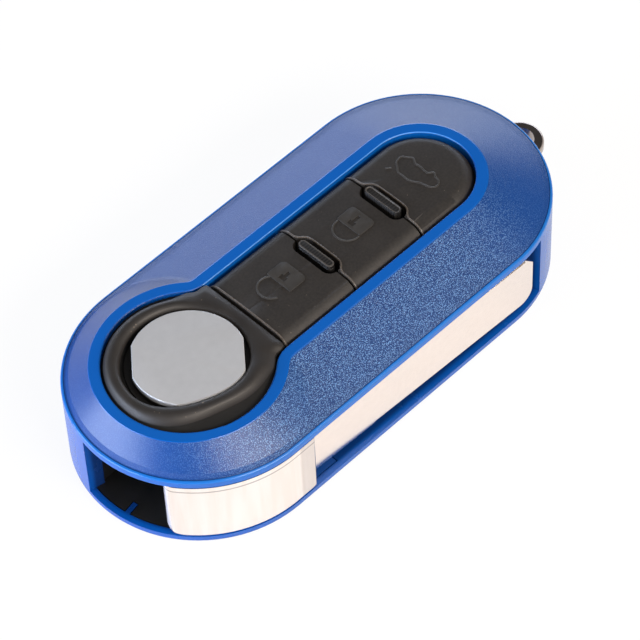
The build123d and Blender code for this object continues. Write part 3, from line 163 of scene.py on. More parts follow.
# %% Node trees
class NodeTree:
    """A tree of shader nodes, with the patterns that finishes are made of."""

    def __init__(self, tree):
        self.tree = tree

    def node(self, kind, settings=None, inputs=None, output=0):
        """Adds a node and returns one of its outputs."""
        made = self.tree.nodes.new(kind)
        for name, value in (settings or {}).items():
            setattr(made, name, value)
        for name, value in (inputs or {}).items():
            if isinstance(value, Wire):
                self.tree.links.new(value.socket, made.inputs[name])
            else:
                made.inputs[name].default_value = value
        return Wire(self, made.outputs[output])

    def place(self, output="Object"):
        """The point on the object, or its surface direction with output Normal."""
        return self.node("ShaderNodeTexCoord", output=output)

    def parts(self, vector):
        """The x, y and z of a vector."""
        first = self.node("ShaderNodeSeparateXYZ", inputs={0: vector})
        return [Wire(self, socket) for socket in first.socket.node.outputs]

    def ray(self):
        """What kind of ray arrives: the outputs of a Light Path node by name."""
        first = self.node("ShaderNodeLightPath")
        return {socket.name: Wire(self, socket) for socket in first.socket.node.outputs}

    def noise(self, size, detail, stretch=(1, 1, 1)):
        """Noise with lumps of about the given size, drawn out along an axis by stretch."""
        scale = [1 / axis for axis in stretch]
        at = self.node("ShaderNodeMapping", inputs={"Vector": self.place(), "Scale": scale})
        return self.node("ShaderNodeTexNoise", inputs={"Vector": at, "Scale": 1 / size, "Detail": detail})

    def specks(self, spacing, low, high):
        """Small dots in the middles of cells of about the given spacing."""
        inputs = {"Vector": self.place(), "Scale": 1 / spacing}
        return self.node("ShaderNodeTexVoronoi", {"feature": "SMOOTH_F1"}, inputs).rises(low, high)

    def mix(self, factor, first, second):
        """A colour between two colours."""
        return self.node("ShaderNodeMix", {"data_type": "RGBA"}, {0: factor, 6: first, 7: second}, output=2)

    def bump(self, height, depth, under=None):
        """Tilts the surface as if it stood depth times height proud."""
        inputs = {"Height": height, "Distance": depth}
        if under is not None:
            inputs["Normal"] = under
        return self.node("ShaderNodeBump", inputs=inputs)

    def from_middle(self, end_x, both_ends=True):
        """Distance from the middle line of the case, seen from above, with round ends about end_x."""
        along, across, _ = self.parts(self.place())
        past_end = ((along.size() if both_ends else along) - end_x).larger(0)
        return (past_end**2 + across**2) ** 0.5


# %% [markdown]
# A finish is a material with its tree. Colours are given as they are read off a screen, because that is how
# they are compared with the photograph, and are turned into light for the shader.


# %% Finishes
class Finish(NodeTree):
    """A material and the nodes that drive it."""

    def __init__(self, name, **sockets):
        self.material = bpy.data.materials.new(name)
        self.material.use_nodes = True
        super().__init__(self.material.node_tree)
        self.shader = self.tree.nodes["Principled BSDF"]
        for socket, value in sockets.items():
            self.set(socket, value)

    def set(self, socket, value):
        """Gives a socket of the shader a constant or a link."""
        if isinstance(value, Wire):
            self.tree.links.new(value.socket, self.shader.inputs[socket])
        else:
            self.shader.inputs[socket].default_value = value


def linear(red, green, blue):
    """A colour as it is read off a screen, 0 to 255, turned into the light that the shader takes."""
    shares = [channel / 255 for channel in (red, green, blue)]
    return [s / 12.92 if s <= 0.04045 else ((s + 0.055) / 1.055) ** 2.4 for s in shares] + [1.0]


def wear(finish, *names):
    """Puts a finish on CAD nodes."""
    for name in names:
        nodes[name].data.materials.clear()
        nodes[name].data.materials.append(finish.material)
    print(finish.material.name, "on", *names)


# %% [markdown]
# The front cover is one moulding in one blue. Its slope has the fine pebbled grain of the mould, which
# breaks up the light, and the rim, the lip and the window's wall are smooth. At a tenth of a millimetre a
# bump is enough for the grain. The slope is found by its height, its tilt and its distance from the middle.

# %% Where the cover is grained
SLOPE_LOW_Z = PARTING_Z + 1.0 * MM
SLOPE_HIGH_Z = RIM_Z - 0.04 * MM
EDGE_SOFT = 0.08 * MM
GRAIN_END = 18.05 * MM
GRAIN_FADE = 0.06 * MM

cover_blue = Finish("cover_blue", IOR=1.46)
along, across, height = cover_blue.parts(cover_blue.place())
outward = cover_blue.from_middle(END_X)
above_foot = height.rises(SLOPE_LOW_Z, SLOPE_LOW_Z + EDGE_SOFT)
below_rim = height.rises(SLOPE_HIGH_Z, SLOPE_HIGH_Z - EDGE_SOFT)
facing_up = cover_blue.parts(cover_blue.place("Normal"))[2].rises(0.1, 0.3)
on_slope = above_foot * below_rim * facing_up * outward.rises(GRAIN_END, GRAIN_END - GRAIN_FADE)

# %% [markdown]
# The grain's glints are painted: on the long near slope many pebbles are painted pale as highlights, and
# fewer towards both ends and on the far side. The same mask of the near side paints the blue darker there as
# shade, and sets how deep the grain is.

# %% Grain, with painted glints and painted side shade
GRAIN_SIZE = 0.13 * MM
COARSE_GRAIN = 3 * GRAIN_SIZE

pebbles = cover_blue.noise(GRAIN_SIZE, 0.5).rises(0.36, 0.66)
grain = pebbles * 0.8 + cover_blue.noise(COARSE_GRAIN, 1) * 0.5
from_ends = along.rises(-38 * MM, -20 * MM) * along.rises(32 * MM, 14 * MM)
near_side = across.rises(6 * MM, -12 * MM) * from_ends
# Painted highlight: pale pebbles stand in for glints, most on the near slope.
painted_glint = pebbles.rises(0.55, 1.0) * (near_side * 0.55 + 0.08) + 0.02
# Painted shade: the blue is darker on the near side.
painted_side_shade_blue = cover_blue.mix(near_side, linear(0, 58, 130), linear(0, 44, 104))
grain_and_glint_blue = cover_blue.mix(painted_glint, painted_side_shade_blue, linear(122, 168, 224))

# %% [markdown]
# Three fine painted lines draw the cover's edges: painted shade in the groove where the slope ends, a painted
# highlight on the smooth lip outside it, and a painted highlight along the far side of the window. They are
# only as wide as the rounding of an edge, so colour by place is enough for them.

# %% Painted shade and highlights along the edges
LEDGE_Z = PARTING_Z + 0.7 * MM
LEDGE_SOFT = 0.2 * MM
GROOVE_WIDTH = 0.12 * MM
LIP_START = 18.12 * MM
LIP_SOFT = 0.05 * MM
WINDOW_EDGE = 7.8 * MM
LINE_START = 0.16 * MM
LINE_END = 0.08 * MM
LINE_DEPTH = 0.2 * MM

on_ledge = height.rises(LEDGE_Z, LEDGE_Z + LEDGE_SOFT)
painted_lip_highlight = outward.rises(LIP_START - LIP_SOFT, LIP_START + LIP_SOFT) * on_ledge
painted_groove_shade = outward.rises(GRAIN_END - GROOVE_WIDTH, GRAIN_END) * on_ledge
from_pad = cover_blue.from_middle(END_X, both_ends=False)
painted_window_highlight = from_pad.rises(WINDOW_EDGE + LINE_START, WINDOW_EDGE + LINE_END)
painted_window_highlight = painted_window_highlight * height.rises(RIM_Z - LINE_DEPTH, RIM_Z)
painted_window_highlight = painted_window_highlight * across.rises(-4 * MM, 2 * MM) * along.rises(-15 * MM, -14 * MM)

# %% [markdown]
# Now the cover's colours are laid over each other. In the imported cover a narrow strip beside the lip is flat,
# where the real slope runs on, so a bump under the grain tilts it like the slope.

# %% Blue cover
GRAIN_DEPTH = 0.024 * MM
SLOPE_FOOT = 17.37 * MM
SLOPE_FALL = 0.45

smooth_blue = cover_blue.mix(cover_blue.noise(6 * MM, 3), linear(4, 84, 168), linear(8, 90, 176))
cover_colour = cover_blue.mix(on_slope, smooth_blue, grain_and_glint_blue)
# Painted shade in the groove, then painted highlights on the lip and along the window's far edge.
cover_colour = cover_blue.mix(painted_groove_shade, cover_colour, linear(2, 40, 96))
cover_colour = cover_blue.mix(painted_lip_highlight, cover_colour, linear(26, 104, 186))
cover_colour = cover_blue.mix(painted_window_highlight, cover_colour, linear(84, 158, 236))
cover_blue.set("Base Color", cover_colour)
cover_blue.set("Roughness", on_slope * 0.1 + 0.22)
ledge_width = (GRAIN_END - outward).larger(0).smaller(GRAIN_END - SLOPE_FOOT)
ledge_tilt = cover_blue.bump(ledge_width * SLOPE_FALL * on_ledge, 1.0)
grain_height = grain * on_slope * (near_side * 0.6 + 0.4)
cover_blue.set("Normal", cover_blue.bump(grain_height, GRAIN_DEPTH, under=ledge_tilt))
wear(cover_blue, "front_cover")

# %% [markdown]
# The rear shell is moulded in the same blue and is smooth all over. The walls of the blade's slot and of the
# head's opening get little light, so painted shade darkens the blue to navy inwards.

# %% Blue shell
SHELL_OUTSIDE = 18.1 * MM
SHELL_INSIDE = 17.2 * MM

shell_blue = Finish("shell_blue", IOR=1.5)
shell_tone = shell_blue.noise(5 * MM, 3)
inside = shell_blue.from_middle(END_X).rises(SHELL_OUTSIDE, SHELL_INSIDE)
shell_colour = shell_blue.mix(shell_tone, linear(2, 74, 158), linear(6, 82, 170))
# Painted shade: navy inside the outline, on the walls of the slot and the opening.
shell_blue.set("Base Color", shell_blue.mix(inside, shell_colour, linear(6, 48, 108)))
shell_blue.set("Roughness", shell_tone * 0.08 + 0.22)
shell_blue.set("Normal", shell_blue.bump(shell_blue.noise(0.8 * MM, 2), 0.004 * MM))
wear(shell_blue, "rear_shell")

# %% [markdown]
# The chassis and the keypad's frame are plain black mouldings. Where the chassis shows at the inner end of
# the blade's slot, the photograph has the blue of the shell, so the chassis is painted blue just there.

# %% Black mouldings
SLOT_END_X = -21.6 * MM
SLOT_WALL_Y = -13.4 * MM
SLOT_ROOF_Z = 7.0 * MM

housing_black = Finish("housing_black")
room_along, room_across, room_height = housing_black.parts(housing_black.place())
at_slot = room_along.rises(SLOT_END_X, SLOT_END_X + 0.3 * MM)
at_slot = at_slot * room_across.rises(SLOT_WALL_Y, SLOT_WALL_Y - 0.4 * MM)
at_slot = at_slot * room_height.rises(SLOT_ROOF_Z, SLOT_ROOF_Z - 1 * MM)
housing_tone = housing_black.noise(2 * MM, 3)
housing_colour = housing_black.mix(housing_tone, linear(10, 9, 9), linear(18, 17, 16))
housing_black.set("Base Color", housing_black.mix(at_slot, housing_colour, linear(4, 62, 134)))
housing_black.set("Roughness", housing_tone * 0.2 + 0.4)
housing_black.set("Normal", housing_black.bump(housing_black.noise(0.15 * MM, 2), 0.004 * MM))
wear(housing_black, "inner_chassis", "keypad_frame")

# %% [markdown]
# The bezel is satin black with a few grains of dust on it. The ledge outside its ring lies deeper, so painted
# shade makes it nearly black there, by height, and the finish is duller there.

# %% Bezel black
LEDGE_TOP_Z = 16.85 * MM
RING_LOW_Z = 17.1 * MM

bezel_black = Finish("bezel_black")
on_ring = bezel_black.parts(bezel_black.place())[2].rises(LEDGE_TOP_Z, RING_LOW_Z)
bezel_tone = bezel_black.noise(3 * MM, 4)
bezel_colour = bezel_black.mix(bezel_tone, linear(34, 31, 29), linear(48, 44, 41))
bezel_dust = bezel_black.specks(1.0 * MM, 0.08, 0.05) * bezel_black.noise(5 * MM, 2).rises(0.5, 0.6)
bezel_colour = bezel_black.mix(bezel_dust, bezel_colour, linear(120, 106, 92))
# Painted shade: the ledge below the ring is nearly black.
bezel_black.set("Base Color", bezel_black.mix(on_ring, linear(9, 8, 7), bezel_colour))
bezel_black.set("Roughness", bezel_tone * 0.15 + 0.8 - on_ring * 0.36)
bezel_black.set("Normal", bezel_black.bump(bezel_black.noise(0.25 * MM, 3), 0.006 * MM))
wear(bezel_black, "release_bezel")

# %% [markdown]
# The keys are rubber: warmer than the mouldings, mottled, with grains of dust. Two noises make the mottle, a
# broad one and a fine one, and the dust is a cell pattern that a third noise leaves only in places.

# %% Key rubber
key_rubber = Finish("key_rubber")
key_mottle = key_rubber.noise(4 * MM, 5) * 0.6 + key_rubber.noise(0.35 * MM, 2).rises(0.3, 0.7) * 0.4
key_colour = key_rubber.mix(key_mottle, linear(30, 27, 26), linear(50, 46, 42))
key_dust = key_rubber.specks(0.9 * MM, 0.07, 0.04) * key_rubber.noise(6 * MM, 2).rises(0.48, 0.6)
key_rubber.set("Base Color", key_rubber.mix(key_dust, key_colour, linear(128, 118, 106)))
key_rubber.set("Roughness", key_rubber.noise(1.5 * MM, 3) * 0.15 + 0.5)
key_rubber.set("Normal", key_rubber.bump(key_rubber.noise(0.2 * MM, 3), 0.006 * MM))
wear(key_rubber, "button_unlock", "button_lock", "button_trunk", "keypad_membrane")

# %% [markdown]
# The metals differ in colour, in roughness and in which way their fine marks run. One function makes them
# all: a mottled tone for the colour, and marks that change the roughness and lift the surface a little.


# %% Metals
def metal(name, dark, light, roughness, spread, mark_size, stretch=(1, 1, 1)):
    """A metal with a mottled tone and fine marks, drawn out along an axis by stretch."""
    made = Finish(name, Metallic=1.0)
    marks = made.noise(mark_size, 3, stretch)
    made.set("Base Color", made.mix(made.noise(mark_size * 8, 4), dark, light))
    made.set("Roughness", marks * spread + roughness)
    made.set("Normal", made.bump(marks, 0.002 * MM))
    return made


ALONG_BLADE = (30, 1, 1)
plate_dark, plate_light = linear(236, 224, 216), linear(243, 232, 225)
blade_plate = metal("blade_plate", plate_dark, plate_light, 0.12, 0.1, 0.1 * MM, ALONG_BLADE)
eye_chrome = metal("eye_chrome", linear(136, 124, 118), linear(196, 184, 176), 0.14, 0.1, 0.4 * MM)
pin_steel = metal("pin_steel", linear(150, 150, 150), linear(170, 170, 170), 0.25, 0.15, 0.2 * MM)
spring_steel = metal("spring_steel", linear(140, 140, 143), linear(165, 165, 168), 0.2, 0.1, 0.2 * MM)
cell_steel = metal("cell_steel", linear(190, 190, 192), linear(205, 205, 207), 0.22, 0.1, 0.2 * MM)
contact_plate = metal("contact_plate", linear(200, 192, 172), linear(215, 208, 190), 0.2, 0.1, 0.2 * MM)
wear(blade_plate, "key_blade")
wear(eye_chrome, "key_loop")
wear(pin_steel, "hinge_pin", "loop_pin", "blade_pin", "lock_plunger", "board_screws")
wear(spring_steel, "flip_spring", "release_spring")
wear(cell_steel, "coin_cell")
wear(contact_plate, "contact_negative", "contact_positive", "crystal")

# %% [markdown]
# The release button is a satin metal cap on a black moulding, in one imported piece. A mask by height keeps the
# metal on the cap. The cap is only half metallic, so the pale studio shows in it less strongly.

# %% Button metal
CAP_SKIRT = 1.0 * MM
CAP_RIM = 0.7 * MM

button_metal = metal("button_metal", linear(204, 205, 207), linear(216, 217, 219), 0.36, 0.12, 0.12 * MM)
button_height = button_metal.parts(button_metal.place())[2]
on_cap = button_height.rises(button_high.z - CAP_SKIRT, button_high.z - CAP_RIM)
cap_colour = button_metal.mix(button_metal.noise(1.5 * MM, 4), linear(204, 205, 207), linear(216, 217, 219))
button_metal.set("Base Color", button_metal.mix(on_cap, linear(24, 22, 21), cap_colour))
button_metal.set("Metallic", on_cap * 0.5)
wear(button_metal, "release_button")

# %% [markdown]
# The flip head is polished and mirrors the pale floor, with faint upright streaks. Chrome shows what stands
# round it, and this studio is a plain one, so three reflections are painted by place: a soft dark edge where
# the head turns away at its left, a thin dark line under the cover and a greyer far end.

# %% Head chrome
ROUND_START = 18.3 * MM
ROUND_END = 18.0 * MM
TURNED_AWAY = 17.0 * MM
LINE_Z = 11.18 * MM
LINE_HALF = 0.06 * MM
LINE_FADE = 0.12 * MM

head_chrome = metal("head_chrome", linear(244, 235, 228), linear(249, 241, 235), 0.05, 0.05, 0.8 * MM)
head_along, _, head_height = head_chrome.parts(head_chrome.place())
head_outward = head_chrome.from_middle(END_X)
streaks = head_chrome.noise(1.2 * MM, 3, (1, 1, 12)).rises(0.3, 0.7)
head_colour = head_chrome.mix(streaks, linear(243, 232, 224), linear(248, 239, 233))
# Painted reflection: a dark bluish band where the left edge turns away, which is also less metallic there.
on_round = head_outward.rises(ROUND_START, ROUND_END) * head_along.rises(-30 * MM, -34 * MM)
away = head_outward.rises(ROUND_END, TURNED_AWAY)
painted_round_reflection = head_chrome.mix(away, linear(206, 202, 206), linear(44, 52, 80))
head_colour = head_chrome.mix(on_round, head_colour, painted_round_reflection)
# Painted reflection: a thin dark line under the cover.
line_low = head_height.rises(LINE_Z - LINE_HALF - LINE_FADE, LINE_Z - LINE_HALF)
line_high = head_height.rises(LINE_Z + LINE_HALF + LINE_FADE, LINE_Z + LINE_HALF)
head_colour = head_chrome.mix(line_low * line_high * 0.5, head_colour, linear(96, 88, 88))
# Painted reflection: a greyer band at the far end.
far_end = head_along.rises(-20.9 * MM, -20.4 * MM)
head_chrome.set("Base Color", head_chrome.mix(far_end * 0.3, head_colour, linear(150, 140, 138)))
head_chrome.set("Metallic", on_round * -0.85 + 1.0)
wear(head_chrome, "flip_head")

# %% [markdown]
# The electronics are hidden while the case is shut, but they are part of the object. The board has its green
# mask, and the parts on it are plain black mouldings.

# %% Electronics
board_green = Finish("board_green")
board_tone = board_green.noise(1.5 * MM, 4)
board_green.set("Base Color", board_green.mix(board_tone, linear(12, 84, 50), linear(22, 104, 64)))
board_green.set("Roughness", board_tone * 0.1 + 0.3)
wear(board_green, "circuit_board")

part_black = Finish("part_black")
part_tone = part_black.noise(0.6 * MM, 3)
part_black.set("Base Color", part_black.mix(part_tone, linear(24, 24, 26), linear(38, 38, 40)))
part_black.set("Roughness", part_tone * 0.2 + 0.45)
wear(part_black, "switch_unlock", "switch_lock", "switch_trunk", "control_chip", "antenna_coil", "resistors")
wear(part_black, "transponder")
print("finishes", len(bpy.data.materials))

# %% [markdown]
# A few pieces are modelled here, because the real ones are softer or finer than the solids. They are made as
# by hand: an outline is extruded or spun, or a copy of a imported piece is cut. An outline is a curve that is
# turned into a mesh. These helpers hold the steps that come back, and each works on one object at a time.


# %% Helpers for one object
MERGE_WITHIN = 0.001 * MM


def only(piece):
    """Selects one object and nothing else."""
    bpy.ops.object.select_all(action="DESELECT")
    piece.select_set(True)
    bpy.context.view_layer.objects.active = piece
    return piece


def in_edit_mode(piece):
    """Opens a piece in edit mode with everything selected."""
    only(piece)
    bpy.ops.object.mode_set(mode="EDIT")
    bpy.ops.mesh.select_all(action="SELECT")


def closed(piece):
    """Merges doubles, turns the faces outward and leaves edit mode."""
    bpy.ops.mesh.select_all(action="SELECT")
    bpy.ops.mesh.remove_doubles(threshold=MERGE_WITHIN)
    bpy.ops.mesh.normals_make_consistent(inside=False)
    bpy.ops.object.mode_set(mode="OBJECT")
    return piece


def spline_through(curve, kind, places, loop):
    """Adds a line through places in metres to a curve."""
    spline = curve.splines.new(kind)
    spline.points.add(len(places) - 1)
    for point, place in zip(spline.points, places):
        point.co = (*place, 1)
    spline.use_cyclic_u = loop
    return spline


def meshed(name, curve):
    """Turns a curve into an object with a mesh."""
    made = bpy.data.objects.new(name, curve)
    bpy.context.scene.collection.objects.link(made)
    only(made)
    bpy.ops.object.convert(target="MESH")
    return made


def outline(name, points, loop=False):
    """A line of straight parts through points in millimetres."""
    curve = bpy.data.curves.new(name, "CURVE")
    curve.dimensions = "3D"
    spline_through(curve, "POLY", [Vector(point) * MM for point in points], loop)
    return meshed(name, curve)


def copied(node_name, name):
    """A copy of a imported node's mesh with its doubles merged."""
    copy = nodes[node_name].copy()
    copy.data = nodes[node_name].data.copy()
    copy.name = name
    bpy.context.scene.collection.objects.link(copy)
    in_edit_mode(copy)
    return closed(copy)


# %% [markdown]
# A modifier is applied as soon as it is set, so every piece is a plain mesh when it is finished. The last
# helper puts a new piece in order: its place goes into its mesh, and it rides on a body of the model.


# %% Helpers for modifiers, joining and finishing
def cut(piece, operation, tool):
    """Applies a boolean with another piece and removes that piece."""
    step = piece.modifiers.new("cut", "BOOLEAN")
    step.operation = operation
    step.object = tool
    only(piece)
    bpy.ops.object.modifier_apply(modifier=step.name)
    bpy.data.objects.remove(tool)
    return piece


def soften(piece, width, segments=2):
    """Rounds the sharp edges of a piece."""
    step = piece.modifiers.new("soften", "BEVEL")
    step.width = width * MM
    step.segments = segments
    step.limit_method = "ANGLE"
    step.angle_limit = math.radians(40)
    only(piece)
    bpy.ops.object.modifier_apply(modifier=step.name)
    return piece


def joined(name, *pieces):
    """Joins pieces into the first one under a new name."""
    only(pieces[0])
    for piece in pieces[1:]:
        piece.select_set(True)
    bpy.ops.object.join()
    pieces[0].name = name
    return pieces[0]


def dressed(piece, body, finish, smooth):
    """Shades a new piece smooth up to an angle, gives it a finish and lets it ride on a body."""
    only(piece)
    bpy.ops.object.transform_apply()
    bpy.ops.object.shade_smooth_by_angle(angle=math.radians(smooth))
    piece.data.materials.clear()
    piece.data.materials.append(finish.material)
    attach(piece, body)
    print(piece.name, len(piece.data.polygons), "faces in", finish.material.name)
    return piece


# %% [markdown]
# The tops of the keys are slightly crowned, with wide round shoulders that roll down to the window's wall,
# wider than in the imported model. The crown's section is a formula, because the lips and symbols that lie on
# the keys ask for its height too.

# %% Section of the keypad
PAD_END_X = 21.5
PAD_HALF = 7.65
PAD_TOP_Z = 17.6
PAD_SAG = 0.35
SHOULDER = 2.3
SHOULDER_STEPS = 24
SHOULDER_START = PAD_HALF - SHOULDER
STEP_Z = 15.1
FORM_HALF = 12.0
FORM_LOW_Z = 12.0


def crown_z(across):
    """Height of the keys' tops at a distance from the pad's middle line, in millimetres."""
    across = min(abs(across), PAD_HALF)
    crown = PAD_TOP_Z - PAD_SAG * (min(across, SHOULDER_START) / PAD_HALF) ** 2
    into = max(across - SHOULDER_START, 0)
    return crown - SHOULDER + math.sqrt(SHOULDER**2 - into**2)


def surface_z(x, y):
    """Height of the keys' tops at a place, in millimetres."""
    return crown_z(math.hypot(max(x - PAD_END_X, 0), y))


half_section = [(0.0, crown_z(0)), (SHOULDER_START / 2, crown_z(SHOULDER_START / 2))]
for step in range(SHOULDER_STEPS + 1):
    across_pad = SHOULDER_START + SHOULDER * math.sin(math.pi / 2 * step / SHOULDER_STEPS)
    half_section.append((across_pad, crown_z(across_pad)))
half_section += [(PAD_HALF, STEP_Z), (FORM_HALF, STEP_Z), (FORM_HALF, FORM_LOW_Z)]
print("crown", round(crown_z(0), 2), "mm high in the middle and", round(crown_z(PAD_HALF), 2), "at the wall")

# %% [markdown]
# The keys are cut to a solid that lies under the crown. Its section is filled and extruded along the pad, and
# half of it is spun round the pad's far end. The two are made one with a boolean.

# %% Solid under the crown
FORM_START_X = -14.0
END_STEPS = 180


def crown_form():
    """The solid under the crown: straight along the pad and round at its far end."""
    section = [(-across, z) for across, z in half_section[:0:-1]] + half_section
    straight = outline("crown_form", [(FORM_START_X, across, z) for across, z in section], loop=True)
    in_edit_mode(straight)
    bpy.ops.mesh.edge_face_add()
    pad_length = (PAD_END_X - FORM_START_X) * MM
    bpy.ops.mesh.extrude_region_move(TRANSFORM_OT_translate={"value": (pad_length, 0, 0)})
    closed(straight)
    profile = half_section + [(0.0, FORM_LOW_Z)]
    end = outline("crown_end", [(PAD_END_X + across, 0, z) for across, z in profile])
    in_edit_mode(end)
    bpy.ops.mesh.spin(steps=END_STEPS, angle=2 * math.pi, center=(PAD_END_X * MM, 0, 0), axis=(0, 0, 1))
    return cut(straight, "UNION", closed(end))


# %% [markdown]
# Along each seam the key beyond it has a fine raised lip, which also runs round the recess of the bar. A thin
# line that follows a curved top is quickest as a curve with a round section, turned into a mesh.

# %% Raised lines
LIP_THICK = 0.14
LIP_SINK = 0.02


def raised_line(name, points, thick, sink, loop=False):
    """A rounded line that lies on the keys, through points given from above in millimetres."""
    curve = bpy.data.curves.new(name, "CURVE")
    curve.dimensions = "3D"
    curve.bevel_depth = thick * MM
    curve.bevel_resolution = 2
    curve.use_fill_caps = True
    places = [(x * MM, y * MM, (surface_z(x, y) - sink) * MM) for x, y in points]
    spline = spline_through(curve, "NURBS", places, loop)
    spline.order_u = 3
    spline.resolution_u = 6
    spline.use_endpoint_u = not loop
    made = meshed(name, curve)
    in_edit_mode(made)
    return closed(made)


# %% [markdown]
# A lip runs straight from the window's wall to the bar's recess, bends round it and runs on. One half of it
# is enough, since the other is its mirror image.

# %% Path of a lip
LIP_OFFSET = 0.36
BAR_HALF = 2.5
RECESS_RADIUS = 1.45
SEAM_END_Y = (7.5, 7.2, 6.8, 6.3, 5.7, 5.0, 4.6)
BEND_ANGLES = (0.45, 0.8, 1.2, math.pi / 2)


def seam_path(seam, has_bar):
    """The line of a lip from one end of a seam to the other."""
    x = seam + LIP_OFFSET
    lower = [(x, -y) for y in SEAM_END_Y]
    if not has_bar:
        return lower + [(x, y) for y in (-3, 0, 3)] + [(px, -py) for px, py in reversed(lower)]
    reach = RECESS_RADIUS + LIP_THICK
    bend = [(seam + reach * math.sin(angle), -BAR_HALF - reach * math.cos(angle)) for angle in BEND_ANGLES]
    side = lower + bend + [(seam + reach, -1.0)]
    return side + [(px, -py) for px, py in reversed(side)]


# %% [markdown]
# Each key is a copy of the imported one, cut to the crown and softened at its edges, and it takes the packed
# key's place. Its lip is a raised piece of its own, and its paler rubber is a painted highlight along it. The
# crown is shaded smooth only up to a small angle, because a large one leaves streaks after the boolean.

# %% Keys
SEAMS = (-12.2, 1.2, 14.2)
KEY_EDGE = 0.1
KEYS = {"unlock": (SEAMS[0], False), "lock": (SEAMS[1], True), "trunk": (SEAMS[2], True)}

# Painted highlight: the lip is paler than the keys.
lip_rubber = Finish("lip_rubber")
lip_tone = lip_rubber.noise(1 * MM, 3)
lip_rubber.set("Base Color", lip_rubber.mix(lip_tone, linear(60, 55, 51), linear(98, 89, 80)))
lip_rubber.set("Roughness", lip_tone * 0.1 + 0.3)

for key_name, (seam, has_bar) in KEYS.items():
    cap = copied("button_" + key_name, key_name + "_cap")
    soften(cut(cap, "INTERSECT", crown_form()), KEY_EDGE)
    lip = raised_line(key_name + "_lip", seam_path(seam, has_bar), LIP_THICK, LIP_SINK)
    dressed(lip, key_name + "_key", lip_rubber, smooth=35)
    dressed(cap, key_name + "_key", key_rubber, smooth=3)
    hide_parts("button_" + key_name)

# %% [markdown]
# The bezel's ring isn't round: on the near side it runs straighter and closer to the button, and on the far
# side it spreads into the flat beside the keys. So its radii are given for some angles, as inner, crest and
# foot radius in millimetres, and are eased between the rows.

# %% Radii of the bezel
RADII = {
    -180: (9.3, 10.6, 11.45),
    -165: (8.9, 10.35, 11.4),
    -150: (8.25, 9.9, 11.1),
    -135: (7.65, 9.2, 10.35),
    -120: (7.3, 8.75, 9.65),
    -105: (7.25, 8.7, 9.4),
    -90: (7.5, 9.05, 9.8),
    -75: (7.85, 9.4, 10.4),
    -60: (8.15, 9.5, 11.0),
    -45: (8.3, 9.5, 11.45),
    -30: (8.4, 9.4, 11.5),
    30: (8.4, 9.35, 11.5),
    60: (8.45, 9.4, 10.7),
    90: (8.65, 9.75, 11.0),
    120: (9.0, 10.2, 11.3),
    150: (9.35, 10.5, 11.45),
    180: (9.3, 10.6, 11.45),
}


def within_half_turn(angle):
    """An angle in degrees brought between -180 and 180."""
    return (angle + 180) % 360 - 180


def row_radii(angle):
    """Inner, crest and foot radius of the ring at an angle, on the straight between two rows."""
    angle = within_half_turn(angle)
    low = max(row for row in RADII if row <= angle)
    high = min(row for row in RADII if row > angle)
    share = (angle - low) / (high - low)
    return [a + (b - a) * share for a, b in zip(RADII[low], RADII[high])]


def even_radii(angle):
    """The same, evened out over the angles on both sides."""
    near = [row_radii(angle + offset) for offset in range(-9, 10, 3)]
    return [sum(column) / len(near) for column in zip(*near)]


print("crest radius", round(even_radii(-90)[1], 2), "near and", round(even_radii(90)[1], 2), "far")


# %% [markdown]
# The section of the bezel goes up the inner wall, over the crest and down to a ledge beside the window's
# wall. On the far side its crest is lower, and it runs on flat to the first seam.

# %% Section of the bezel
WALL_RADIUS = 11.6
PAD_EDGE = 7.62
SEAM_EDGE = 10.62
FLAT_END_ANGLE = 62
FLAT_EASE_ANGLE = 24
BASE_Z = 15.8
CREST_Z = 18.15
CREST_DROP = 0.3
FOOT_Z = 16.95
LEDGE_LOW_Z = 16.5
LEDGE_DROP = 0.5
WALL_LOW_Z = 17.0
WALL_HIGH_Z = 17.45
SHOULDER_Z = 17.8


def flat_share(angle):
    """1 where the ring spreads into the flat beside the keys and 0 round the rest, with a soft step."""
    share = min(max((FLAT_END_ANGLE - abs(within_half_turn(angle))) / FLAT_EASE_ANGLE, 0), 1)
    return share * share * (3 - 2 * share)


def wall_radius(angle):
    """How far the bezel reaches: to the window's wall, and on the far side to the first seam."""
    forward, sideways = math.cos(math.radians(angle)), abs(math.sin(math.radians(angle)))
    if forward <= 0.1:
        return WALL_RADIUS
    straight_wall = min(PAD_EDGE / max(sideways, 0.1), 20)
    return min(max(WALL_RADIUS, straight_wall), SEAM_EDGE / forward)


def bezel_section(angle):
    """The radius and height of each line of the bezel at an angle in degrees."""
    inner, crest, foot = even_radii(angle)
    flat, wall = flat_share(angle), wall_radius(angle)
    foot = min(foot + (wall - foot) * flat, wall - 0.2)
    across = min(foot * abs(math.sin(math.radians(angle))), PAD_HALF - 0.3)
    crest_z = CREST_Z - CREST_DROP * flat
    foot_z = FOOT_Z + (crown_z(across * 0.8) - FOOT_Z) * flat
    ledge_z = LEDGE_LOW_Z + (foot_z - LEDGE_DROP - LEDGE_LOW_Z) * flat
    middle = crest + (foot - crest) * 0.55
    middle_z = foot_z + (crest_z - foot_z) * (0.72 - 0.3 * flat)
    inner_wall = [(inner - 0.1, BASE_Z), (inner - 0.05, WALL_LOW_Z), (inner, WALL_HIGH_Z)]
    inner_round = [(inner + 0.18, SHOULDER_Z - 0.15 * flat), (inner * 0.55 + crest * 0.45, crest_z - 0.1)]
    outer_round = [(crest, crest_z), (middle, middle_z), (foot, foot_z)]
    return inner_wall + inner_round + outer_round + [(foot + 0.12, ledge_z), (wall, ledge_z), (wall, BASE_Z)]


# %% [markdown]
# Spin makes a plain ring, whose section is the same all round. So a loop with one point for each line of the
# section is spun first, with its points one millimetre apart in height. Then each vertex knows its line by
# its height and its angle by its place, and it is moved to where the section wants it.

# %% A ring whose section changes
BEZEL_X = -23.0
BEZEL_STEPS = 144
START_RADIUS = 8


